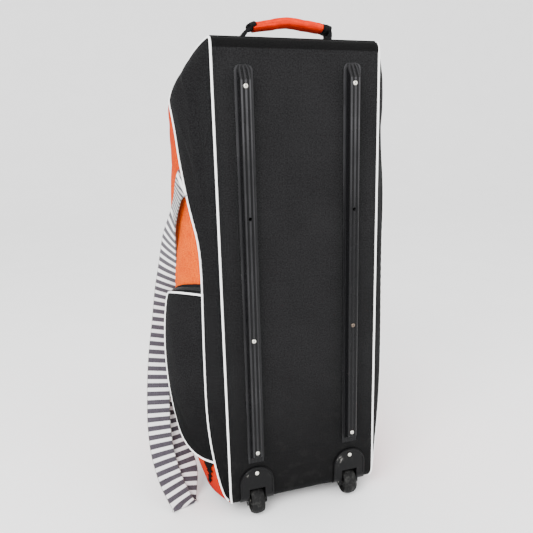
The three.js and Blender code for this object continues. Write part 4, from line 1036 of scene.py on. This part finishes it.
def moulded_finish(name, gloss, streak, dark, worn, rubbed=None, scuffs=()):
    """Black moulded plastic: fine scratches drawn out along the length, an orange-peel skin, and pale
    wear where the noise peaks. rubbed names a map whose first part is how pale each place is made, by
    wear and painted highlight, and scuffs lists places with a burst of slanting pale nicks, each a
    point and its reach."""
    finish, tree, socket = finish_for(name, {"Specular IOR Level": 0.11})
    solid = wire(tree, "TexCoord").outputs["Object"]
    peel, patch = noise(tree, solid, 420.0, 2.0), noise(tree, solid, 14.0, 4.0)
    scratch = ranged(tree, noise(tree, drawn_out(tree, solid, streak), 1.0, 6.0), 0.6, 0.76)
    wear = maths(tree, "MULTIPLY", scratch, 0.18)
    # For the rails, the map adds a painted highlight to this wear
    if rubbed:
        place = parts(tree, charted(tree, rubbed))
        wear = maths(tree, "MULTIPLY", maths(tree, "ADD", 0.75, wear), place[0])
    wear = maths(tree, "MULTIPLY", wear, ranged(tree, patch, 0.35, 0.7, 0.45, 1.0))
    colour = mixed(tree, wear, (*dark, 1), (*worn, 1))
    for *point, radius in scuffs:
        slanted = wire(tree, "VectorRotate", {"Vector": solid, "Angle": -0.6}, rotation_type="Y_AXIS")
        nicks = noise(tree, drawn_out(tree, slanted.outputs[0], (1000.0, 300.0, 100.0)), 1.0, 3.0)
        ends = {0: solid, 1: placed(point).tolist()}
        far = wire(tree, "VectorMath", ends, operation="DISTANCE").outputs["Value"]
        near = ranged(tree, far, radius / 1000, radius / 3000)
        share = maths(tree, "MULTIPLY", near, ranged(tree, nicks, 0.55, 0.63, 0.0, 0.75))
        colour = mixed(tree, share, colour, (0.5, 0.49, 0.46, 1))
    rough = added(tree, added(tree, gloss, scratch, 0.2), patch, 0.12)
    raised = maths(tree, "SUBTRACT", maths(tree, "MULTIPLY", peel, 0.4),
                   maths(tree, "MULTIPLY", scratch, 0.6))
    joined(tree, socket, colour, rough, raised, 0.25, 0.0003)
    return finish


# The rails' pale colour stands for wear and for a painted highlight on the ribs
rail_plastic = moulded_finish(
    "rail_plastic", 0.2, (380.0, 380.0, 9.0), (0.005, 0.005, 0.0055), (0.036, 0.036, 0.038), "rubbed"
)


def rail_height(x, z):
    """Height of the rail over the board: a rounded flange, a ridge with steep sides whose top carries
    three ribs, ramps at both ends with deeper grooves, round seats for the rivets and one open hole."""
    off = np.abs(x)
    flange = FLANGE * np.sqrt(np.clip(1 - eased(off, RAIL_HALF - 2.2, RAIL_HALF) ** 2, 0.04, 1))
    ribs = GROOVE * (eased(off, 2.0, 3.2) - eased(off, 4.8, 6.0))
    crown = RIDGE - ribs - 1.2 * eased(off, 7.6, 9.8)
    side = FLANGE + (RIDGE - FLANGE) * np.clip((12.2 - off) / 2.6, 0, 1)
    ridge = np.minimum(crown, side)
    top_ramp = FLANGE + (RIDGE - FLANGE) * (TOP_RAMP - z) / TOP_RUN
    low_ramp = FLANGE + (RIDGE - FLANGE) * (z - LOW_RAMP) / LOW_RUN
    ramp = np.minimum(top_ramp, low_ramp)
    grooved = np.where(z > 500, 2.4, 0.6) * (eased(off, 1.6, 3.0) - eased(off, 5.0, 6.4))
    ramp = ramp - grooved * (ramp < RIDGE)
    height = np.maximum(np.minimum(ridge, ramp), flange)
    for rivet_height in RIVET_HEIGHTS:
        seat = np.hypot(x, z - rivet_height) < SEAT_RADIUS
        height = np.where(seat, np.minimum(height, SEAT), height)
    return np.where(np.hypot(x, z - HOLE_HEIGHT) < HOLE_RADIUS, 2.0, height)


heights = np.unique(np.round(np.concatenate([
    np.linspace(RAIL_LOW, 112, 34), np.linspace(112, 828, 90), np.linspace(828, 848, 24),
    RAIL_TOP - RAIL_CORNER + RAIL_CORNER * np.sin(np.linspace(0, np.pi / 2, 16)),
    *[h + np.linspace(-6, 6, 21) for h in (*RIVET_HEIGHTS, HOLE_HEIGHT)],
]), 3))
half = RAIL_HALF - RAIL_CORNER + np.sqrt(
    np.maximum(RAIL_CORNER**2 - np.maximum(heights - RAIL_TOP + RAIL_CORNER, 0) ** 2, 0)
)
s = np.concatenate([[-17, -16.6, -16, -15.2, -14], np.linspace(-12.6, 12.6, 64), [14, 15.2, 16, 16.6, 17]])
x = np.clip(s / RAIL_HALF * half[:, None], -half[:, None], half[:, None])
z = np.broadcast_to(heights[:, None], x.shape)
lift = rail_height(x * RAIL_HALF / half[:, None], z)
to_top = np.clip((RAIL_TOP - z) / 2.2, 0, 1)
top_edge = FLANGE * np.sqrt(np.clip(1 - (1 - to_top) ** 2, 0.04, 1))
lift = np.where(z > TOP_RAMP, np.minimum(lift, top_edge), lift)
# Wear and painted highlight: the ribs' crests and the flange's edge are worn and painted pale, the ramps
# less
off = np.abs(x) * RAIL_HALF / half[:, None]
on_rib = 1 - eased(off, 1.4, 2.4) + eased(off, 5.6, 6.6) - eased(off, 8.6, 9.6)
on_slope = (z > TOP_RAMP - TOP_RUN) | (z < LOW_RAMP + LOW_RUN)
rubbed = on_rib * np.where(on_slope, 0.35, 1) + 0.8 * eased(off, 12.2, 13.4)
at_top = (lift > FLANGE - 1) & (z > TOP_RAMP)
RAIL_WEAR_AND_HIGHLIGHT = {  # heights, and how pale the ribs are there from wear and painted highlight
    "left": ([100, 500, 820], [0.7, 0.8, 1.4]),
    "right": ([100, 280, 450, 590, 650, 820], [0.2, 0.12, 0.04, 0.25, 1.3, 1.4]),
}
RAIL_SHIFT = {"left": -3.0, "right": 4.0}  # up the panel
for side, sign in SIDES.items():
    place = z + RAIL_SHIFT[side]
    outer = np.stack([sign * RAIL_X + x, -lift, place], 2)
    inner = np.stack([sign * RAIL_X + x, np.full_like(x, -0.4), place], 2)
    # Painted highlight: this map lightens the ribs beyond their wear, more on the left rail and near the
    # top
    worn = np.where(at_top, 0.5, rubbed * np.interp(z, *RAIL_WEAR_AND_HIGHLIGHT[side]))
    piece = shell(f"{side}_rail", outer, inner, {"rubbed": np.stack([worn, z / 1000], 2)})
    dressed(piece, rail_plastic, [f"skid_rail_{side}"])

# Rivets: bright steel with a flat domed head and a dimple where the tool pressed, through the rails
# and through the wheel housings into the board. One of them has dulled to brown.
HEAD, SHANK, DOME = 4.4, 2.3, 2.0
DULLED = ("right", 2)
HOUSING_SEAT = (-5.4, 62.0)  # depth and height of the housings' rivets


def metal_finish(name, clean, filmed):
    """Steel with a fine brushed grain and a dull film in places, each with its own colour."""
    finish, tree, socket = finish_for(name, {"Metallic": 0.85})
    solid = wire(tree, "TexCoord").outputs["Object"]
    grain = noise(tree, drawn_out(tree, solid, (900.0, 900.0, 5000.0)), 1.0, 3.0)
    film = noise(tree, solid, 300.0, 4.0)
    colour = shades(tree, film, (0.3, clean), (0.8, filmed))
    joined(tree, socket, colour, ranged(tree, film, 0.0, 1.0, 0.24, 0.46), grain, 0.12, 0.0001)
    return finish


rivet_steel = metal_finish("rivet_steel", (0.84, 0.83, 0.76), (0.58, 0.56, 0.48))
dulled_steel = metal_finish("dulled_steel", (0.2, 0.155, 0.12), (0.05, 0.035, 0.025))
rivet_profile = np.array([  # radius, height above the seat
    (0, 0.1), (0.9, 0.15), (1.25, 0.6), (1.5, DOME - 0.2), (1.9, DOME), (2.4, DOME - 0.1),
    (3.2, DOME - 0.45), (3.9, 1.0), (4.25, 0.5), (HEAD, 0.1), (HEAD, 0), (SHANK, 0), (SHANK, -4), (0, -4),
])


def lathe(name, profile, centre, along, sides):
    """A profile of (radius, height) turned about a level line through centre: along is the line's
    direction, and two square directions carry the circle."""
    along = np.asarray(along, float)
    one = np.cross(along, (0.0, 0.0, 1.0))
    two = np.cross(along, one)
    angle = np.linspace(0, 2 * np.pi, sides, endpoint=False)
    ring = one * np.cos(angle)[:, None] + two * np.sin(angle)[:, None]
    points = np.asarray(centre) + profile[:, :1, None] * ring + (profile[:, 1:, None] * along)
    return turned(name, points)


for side, sign in SIDES.items():
    for i, height in enumerate(RIVET_HEIGHTS, 1):
        seat = (sign * RAIL_X, 0.2 - SEAT, height + RAIL_SHIFT[side])
        rivet = lathe(f"{side}_rail_rivet_{i}", rivet_profile, seat, (0, -1, 0), 32)
        finish = dulled_steel if (side, i) == DULLED else rivet_steel
        dressed(rivet, finish, [f"rail_rivet_{i}_{side}"])
    seat = (sign * RAIL_X, *HOUSING_SEAT)
    rivet = lathe(f"{side}_housing_rivet", rivet_profile, seat, (0, -1, 0), 32)
    dressed(rivet, rivet_steel, [f"housing_rivet_{side}"])
    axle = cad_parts[f"axle_{side}"]
    axle.data.materials.clear()
    axle.data.materials.append(rivet_steel)

# Wheel housings: black plastic corner mouldings, an arched plate in front that turns under the bag,
# with a well for the wheel and a raised lip round the arch. The same solid as in the frame, with its
# edges rounded as a mould leaves them.
SCUFFS = [(82, -5, 54.5, 9.5), (-122.5, -5, 62, 6.5)]  # x, y, z, reach
housing_plastic = moulded_finish(
    "housing_plastic", 0.34, (160.0, 160.0, 60.0), (0.003, 0.003, 0.0033), (0.085, 0.085, 0.08),
    scuffs=SCUFFS,
)
LIP, LIP_Y = 1.7, -4.6  # radius and depth
LIP_HALF, ARCH = 33.5, 40.0  # half the arch's width, and its centre's height
bend = np.linspace(0, np.pi, 50)
leg = np.linspace(14, ARCH - 1, 12)
lip_x = np.concatenate([np.full(12, LIP_HALF), LIP_HALF * np.cos(bend), np.full(12, -LIP_HALF)])
lip_z = np.concatenate([leg, ARCH + LIP_HALF * np.sin(bend), leg[::-1]])
lip_path = np.stack([lip_x, np.full_like(lip_x, LIP_Y), lip_z], 1)
lip_path = spaced(lip_path, 2)
for side, sign in SIDES.items():
    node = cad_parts[f"wheel_housing_{side}"]
    copy = node.data.copy()
    copy.name = f"{side}_wheel_housing"
    work = bmesh.new()
    work.from_mesh(copy)
    bmesh.ops.remove_doubles(work, verts=work.verts, dist=1e-6)
    bmesh.ops.dissolve_limit(work, angle_limit=0.01, verts=work.verts, edges=work.edges)
    work.to_mesh(copy)
    work.free()
    piece = bpy.data.objects.new(f"{side}_wheel_housing", copy)
    scene.collection.objects.link(piece)
    rounded = piece.modifiers.new("mould_radius", "BEVEL")
    rounded.width, rounded.segments, rounded.limit_method, rounded.angle_limit = 0.0011, 2, "ANGLE", 0.6
    dressed(piece, housing_plastic, [f"wheel_housing_{side}"])
    lip = tube(f"{side}_housing_lip", lip_path + (sign * RAIL_X, 0, 0), LIP,
               np.broadcast_to(away, lip_path.shape), 10)
    dressed(lip, housing_plastic)

# Wheels: moulded black rubber on plastic hubs, with a rounded tread and fine ring grooves, each
# turning on its own steel pin in the housing.
WHEEL_RADIUS, WHEEL_HALF, BORE = 28.0, 14.0, 3.4


def rubber_finish():
    """Black rubber: a dull skin with fine pits, paler dust on the tread and scuffs."""
    finish, tree, socket = finish_for("wheel_rubber", {"Specular IOR Level": 0.1})
    solid = wire(tree, "TexCoord").outputs["Object"]
    pits, worn = noise(tree, solid, 700.0, 3.0), noise(tree, solid, 130.0, 6.0)
    plain = shades(tree, pits, (0.3, (0.003, 0.003, 0.003)), (0.7, (0.01, 0.01, 0.01)))
    colour = mixed(tree, ranged(tree, worn, 0.5, 0.72, 0.0, 0.5), plain, (0.052, 0.052, 0.049, 1))
    rough, raised = ranged(tree, worn, 0.0, 1.0, 0.5, 0.75), maths(tree, "ADD", pits, worn)
    joined(tree, socket, colour, rough, raised, 0.35, 0.0005)
    return finish


wheel_rubber = rubber_finish()
across = np.linspace(-WHEEL_HALF + 0.4, WHEEL_HALF - 0.4, 61)
tread = WHEEL_RADIUS - 4.5 * np.abs(across / WHEEL_HALF) ** 2.6
tread = tread - 0.55 * (0.5 - 0.5 * np.cos(np.abs(across) * 2 * np.pi / 4.2)) ** 4 * (np.abs(across) < 11)
hub = np.array([(20.5, 13.0), (19.0, 9.0), (10.5, 9.0), (9.0, 13.0), (BORE, 13.0)])
profile = np.concatenate([
    hub[::-1] * (1, -1), np.stack([tread, across], 1), hub, hub[-1:] * (1, 0), hub[-1:] * (1, -1)
])
for side, sign in SIDES.items():
    wheel = lathe(f"{side}_wheel", profile, AXLE * (sign, 1, 1), (1, 0, 0), 64)
    dressed(wheel, wheel_rubber, [f"wheel_{side}"], f"{side}_wheel")

# Grab handle: black webbing sewn to the handle end at both feet, through a padded grip of the orange
# cloth that is folded over and sewn along its upper side, with black tape bound round each end.
HANDLE = np.array([  # place, x, z: grip from -2 to 2, feet at the ends
    (-6, -91, 910), (-5, -85, 918), (-4, -76, 927), (-3, -70, 929.6), (-2, -66.5, 930.3),
    (-1, -36, 935.4), (0, -3, 940.4), (1, 34, 936.8), (2, 67, 932.6), (3, 70, 932), (4, 79, 929),
    (5, 81.5, 920), (6, 79.5, 907),
])
HANDLE_FEET = (-95.0, 79.0)  # x of the two sewn ends
HANDLE_Y, WEB_HALF, WEB = 60.0, 15.0, 6.0
GRIP_SEAM = 0.021  # metres round the grip to its row of stitches


def webbing_finish(name, deep, pale, pitch):
    """Black woven webbing: a coarse plain weave whose threads each have their own shade."""
    finish, tree, socket = finish_for(name, {"Sheen Weight": 0.007, "Specular IOR Level": 0.055})
    woven = placed_group(tree, weave, {"Cloth": charted(tree, "cloth"), "Pitch": pitch})
    shade = added(tree, maths(tree, "MULTIPLY", woven["Height"], 0.6), woven["Thread"], 0.4)
    colour = shades(tree, shade, (0.1, deep), (0.9, pale))
    joined(tree, socket, colour, ranged(tree, shade, 0.0, 1.0, 0.85, 0.6), woven["Height"], 0.6, 0.0006)
    return finish


black_webbing = webbing_finish("black_webbing", (0.0015, 0.0015, 0.0018), (0.0085, 0.0085, 0.0092), 0.0018)


def handle_line(place):
    """The handle's middle line in its own plane."""
    x, z = np.moveaxis(through(HANDLE, place), -1, 0)
    return np.stack([x, np.full_like(x, HANDLE_Y), z], -1)


def square_to(path):
    """Unit directions across a path that lies in the handle's plane, and pointing up over the arch."""
    way = np.gradient(path, axis=0)
    return np.stack([-way[:, 2], 0 * way[:, 0], way[:, 0]], 1) / np.linalg.norm(way, axis=1)[:, None]


# Webbing: the arch, led down at each end to the cloth of the handle end
arch = handle_line(np.linspace(-6, 6, 121))
depths = np.linspace(-WEB_HALF, WEB_HALF, 13)
band = arch[:, None] + np.array([0, 1.0, 0]) * depths[:, None]
feet = [np.stack([np.full(13, foot_x), HANDLE_Y + depths], 1) for foot_x in HANDLE_FEET]
feet = [np.column_stack([foot, top_height(foot[:, 0], foot[:, 1]) + 0.8]) for foot in feet]
lead = np.linspace(0, 1, 8)[:-1, None, None]
band = np.concatenate([
    feet[0] + (band[0] - feet[0]) * lead, band, (feet[1] + (band[-1] - feet[1]) * lead)[::-1]
])
side_way = -unit(np.cross(np.gradient(band, axis=0), (0.0, 1.0, 0.0)))
chart = np.stack([np.broadcast_to(depths / 1000, band.shape[:2]), runs(band, 0)], 2)
handle_web = shell("handle_web", band + side_way * WEB / 2, band - side_way * WEB / 2, {"cloth": chart})
dressed(handle_web, black_webbing, ["handle_webbing"])


def sleeve(name, path, deep, tall, sides, shape):
    """A tube round the webbing along a stretch of the handle: rings of rounded section, deep along Y
    and tall across the path, scaled and ruffled by shape, with a flat slot inside."""
    over = square_to(path)
    angle = np.linspace(0, 2 * np.pi, sides, endpoint=False)
    scale = shape(np.linspace(0, 1, len(path))[:, None], angle[None])
    c, s = np.cos(angle), np.sin(angle)
    ring_y = deep * np.sign(c) * np.abs(c) ** 0.9
    ring_z = tall * np.sign(s) * np.abs(s) ** 0.9
    y_way = np.array([0, 1.0, 0])
    reach_y, reach_z = (ring_y * scale)[..., None], (ring_z * scale)[..., None]
    outer = path[:, None] + y_way * reach_y + over[:, None] * reach_z
    slot_y = np.clip(1.6 * c, -1, 1) * (WEB_HALF + 0.5)
    slot_z = np.clip(1.6 * s, -1, 1) * (WEB / 2 + 0.5)
    inner = path[:, None] + y_way * slot_y[:, None] + over[:, None] * slot_z[:, None]
    wrapped = np.concatenate([outer, outer[:, :1]], 1)
    chart = np.stack([runs(wrapped, 1), runs(wrapped, 0)], 2)
    seam = np.stack([np.abs(runs(wrapped, 1) - GRIP_SEAM), runs(wrapped, 0)], 2) + (SEWN_OFF, 0)
    return shell(name, outer, inner, {"cloth": chart, "seam": seam}, closed=True)


def padded_grip(along, angle):
    """The grip's ruffles: drawn in at both ends and slimmer to the left, a sewn crease along the upper
    front, a short fold below it, and soft wrinkles that run round it."""
    ends = 1 - 0.1 * (1 - eased(along, 0, 0.06) * eased(1 - along, 0, 0.06))
    ends = ends - 0.14 * (1 - eased(along, 0, 0.4))
    sewn = 0.13 * np.exp(-(((angle - 2.62) / 0.13) ** 2)) * eased(along, 0.03, 0.12)
    fold = 0.1 * np.exp(-(((angle - 3.05 - 0.5 * along) / 0.12) ** 2)) * (1 - eased(along, 0.3, 0.6))
    wrinkle = 0.025 * np.sin(38 * along + 2.2 * np.sin(angle)) * np.sin(9 * along + 1)
    wrinkle = wrinkle * (np.cos(angle) < 0.7) * eased(along, 0, 0.1) * eased(1 - along, 0, 0.1)
    return ends - sewn - fold + wrinkle


def bound_end(along, angle):
    """A binding's ruffles: rounded at its two edges, with two turns of tape."""
    return (0.9 + 0.1 * np.sqrt(np.sin(np.pi * np.clip(along, 0.02, 0.98)))
            + 0.02 * np.cos(4 * np.pi * along) + 0 * angle)


grip_path = handle_line(np.linspace(-2.4, 2, 141))
grip = sleeve("padded_grip", grip_path, 17.0, 9.2, 64, padded_grip)
# Painted shade: the grip takes a darker, redder copy of the orange cloth, to offset the strong light its
# top gets
grip_painted_shade_cloth = cloth_finish("grip_painted_shade_cloth", (0.42, 0.007, 0.0), (0.74, 0.028, 0.0), ORANGE, (0.3, 0.005, 0.0),
                          shine=0.02, streaks=0.24)
dressed(grip, grip_painted_shade_cloth, ["handle_grip"])
straight = np.linspace(0, 1, 16)[:, None]
BINDINGS = {  # path, half depth, half height
    "left": (np.array([-75.5, HANDLE_Y, 929.0]) + np.array([11.0, 0, 5.4]) * straight, 17.6, 7.2),
    "right": (np.array([67.5, HANDLE_Y, 932.6]) + np.array([15.5, 0, -3.7]) * straight, 17.6, 9.2),
}
for side, (stretch, deep, tall) in BINDINGS.items():
    binding = sleeve(f"{side}_grip_binding", stretch, deep, tall, 40, bound_end)
    dressed(binding, black_webbing, [f"handle_binding_{side}"])

# Shoulder strap: flat polyester webbing, white with dark cross stripes woven in, sewn into the curved
# seam above the pocket. It falls past the pocket to the floor, folds and climbs again behind it.
STRAP = np.array([  # x, y, z, then the width's turn about the vertical and its tip above level, in degrees
    (-209.2, 71, 654, 28, 62), (-217.9, 76, 641.6, 8, 38), (-223.3, 87, 615.6, 3, 19),
    (-230.4, 100, 583.8, 5, 18), (-236.9, 114, 553, 17, 8), (-239.4, 133, 520, 26, 2),
    (-241.4, 152, 482, 37, 0), (-244, 169, 444, 51, -2), (-248.5, 192, 395, 66, 0),
    (-255.5, 200, 340, 76, 0), (-266.5, 193, 280, 80, 0), (-275, 181, 222, 80, 0),
    (-281, 164, 165, 80, 0), (-284, 145, 117, 82, 0), (-282, 122, 70, 86, 0), (-272, 95, 24, 94, 0),
    (-259, 76, -9, 104, 0), (-251.5, 67, -24, 110, 0), (-247, 67, -32, 110, 0), (-246, 74, -34.5, 110, 0),
    (-245, 81, -31, 110, 0), (-241, 89, -16, 110, 0), (-236, 100, 8, 108, 0), (-235, 114, 31, 104, 0),
    (-245, 145, 76, 100, 0), (-252, 168, 122, 102, 0), (-250, 189, 165, 116, 0), (-242, 203, 205, 140, 0),
    (-231, 211, 245, 155, 0), (-220, 212, 290, 161, 0),
])
STRAP = np.column_stack([np.arange(len(STRAP)), STRAP])  # first, the place along the strap
STRAP_HALF, STRAP_THICK = 25.0, 2.2
STRIPE, DARK_SHARE = 0.0184, 0.56  # pitch in metres, and how much of it is dark
# The first stretch, in metres, shows the reverse, which has finer lines
REVERSE, REVERSE_SLANT, FINE_LINE = 0.073, 0.38, 0.0075
FOLD_HIGHLIGHT_BAND = (0.003, 0.0085)  # painted highlight on the fold by the sewn end: a white band, metres from the seam


def striped_finish():
    """White webbing with dark cross stripes: the cloth map's second part counts along the strap. The
    stripes' edges waver with the threads, and a dark selvedge runs along both edges. The end map
    gives the place across the strap and the distance from its sewn end."""
    finish, tree, socket = finish_for("striped_webbing", {"Sheen Weight": 0.15, "Specular IOR Level": 0.3})
    cloth, end = charted(tree, "cloth"), parts(tree, charted(tree, "end"))
    part = parts(tree, cloth)
    woven = placed_group(tree, weave, {"Cloth": cloth, "Pitch": 0.0012})
    fray = noise(tree, drawn_out(tree, cloth, (900, 300, 1)), 1.0, 2.0)
    along = added(tree, part[1], fray, 0.0012)
    phase = maths(tree, "FRACT", maths(tree, "DIVIDE", along, STRIPE))
    off = maths(tree, "ABSOLUTE", maths(tree, "SUBTRACT", phase, 0.5))
    dark = ranged(tree, off, DARK_SHARE / 2 + 0.02, DARK_SHARE / 2 - 0.02)
    white = shades(tree, woven["Height"], (0.0, (0.6, 0.59, 0.6)), (1.0, (0.86, 0.855, 0.86)))
    grey = shades(tree, maths(tree, "MULTIPLY", maths(tree, "ADD", woven["Height"], woven["Thread"]), 0.5),
                  (0.1, (0.018, 0.014, 0.021)), (0.9, (0.055, 0.046, 0.06)))
    colour = mixed(tree, dark, white, grey)
    turn_line = maths(tree, "SUBTRACT", REVERSE, maths(tree, "MULTIPLY", end[0], REVERSE_SLANT))
    reverse = ranged(tree, maths(tree, "SUBTRACT", turn_line, end[1]), -0.0006, 0.0006)
    fine = maths(tree, "FRACT", maths(tree, "DIVIDE", along, FINE_LINE))
    plain = shades(tree, fine, (0.45, (0.4, 0.395, 0.4)), (0.55, (0.03, 0.026, 0.032)))
    colour = mixed(tree, reverse, colour, plain)
    # Painted highlight: a white band across the fold by the sewn end
    off_band = maths(tree, "ABSOLUTE", maths(tree, "SUBTRACT", end[1], sum(FOLD_HIGHLIGHT_BAND) / 2))
    band_half = (FOLD_HIGHLIGHT_BAND[1] - FOLD_HIGHLIGHT_BAND[0]) / 2
    fold_highlight = ranged(tree, off_band, band_half + 0.0004, band_half - 0.0004)
    colour = mixed(tree, fold_highlight, colour, (0.8, 0.795, 0.8, 1))
    selvedge = ranged(tree, maths(tree, "ABSOLUTE", part[0]), 0.0232, 0.0242, 0.0, 0.55)
    colour = mixed(tree, selvedge, colour, (0.1, 0.095, 0.08, 1))
    rough = ranged(tree, woven["Height"], 0.0, 1.0, 0.85, 0.6)
    joined(tree, socket, colour, rough, woven["Height"], 0.5, 0.0004)
    return finish


striped_webbing = striped_finish()
# The width lies aslant to the way along, so it is stretched to keep the strap 50 mm wide
rows = through(STRAP, np.linspace(0, len(STRAP) - 1, 420))
middle, turn, tip = rows[:, :3], np.radians(rows[:, 3]), np.radians(rows[:, 4])
way = unit(np.gradient(middle, axis=0))
across = np.stack([-np.sin(turn) * np.cos(tip), np.cos(turn) * np.cos(tip), np.sin(tip)], 1)
skew = (across * way).sum(1)
half = STRAP_HALF / np.sqrt(1 - skew**2)
shift = half[:, None] * np.linspace(-1, 1, 25)
strap = middle[:, None] + across[:, None] * shift[..., None]
run = np.concatenate([[0], np.cumsum(np.linalg.norm(np.diff(middle, axis=0), axis=1))])
chart = np.stack([shift * np.sqrt(1 - skew**2)[:, None], run[:, None] + shift * skew[:, None]], 2) / 1000
facing = normals(strap)
# A soft crease across the strap above the floor, with a hollow before it
CREASE_RUN, CREASE_SLANT, CREASE_RISE, CREASE_HALF = 690.0, 0.35, 3.0, 7.0
HOLLOW_BEFORE, HOLLOW_FALL, HOLLOW_HALF = 13.0, 2.0, 8.0
off_crease = run[:, None] + CREASE_SLANT * shift - CREASE_RUN
rise = CREASE_RISE * np.exp(-((off_crease / CREASE_HALF) ** 2))
rise = rise - HOLLOW_FALL * np.exp(-(((off_crease + HOLLOW_BEFORE) / HOLLOW_HALF) ** 2))
strap = strap + facing * rise[..., None]
from_end = np.stack([shift, np.broadcast_to(run[:, None], shift.shape)], 2) / 1000
strap_piece = shell("striped_strap", strap + facing * STRAP_THICK / 2, strap - facing * STRAP_THICK / 2,
                    {"cloth": chart, "end": from_end})
dressed(strap_piece, striped_webbing, ["shoulder_strap"])
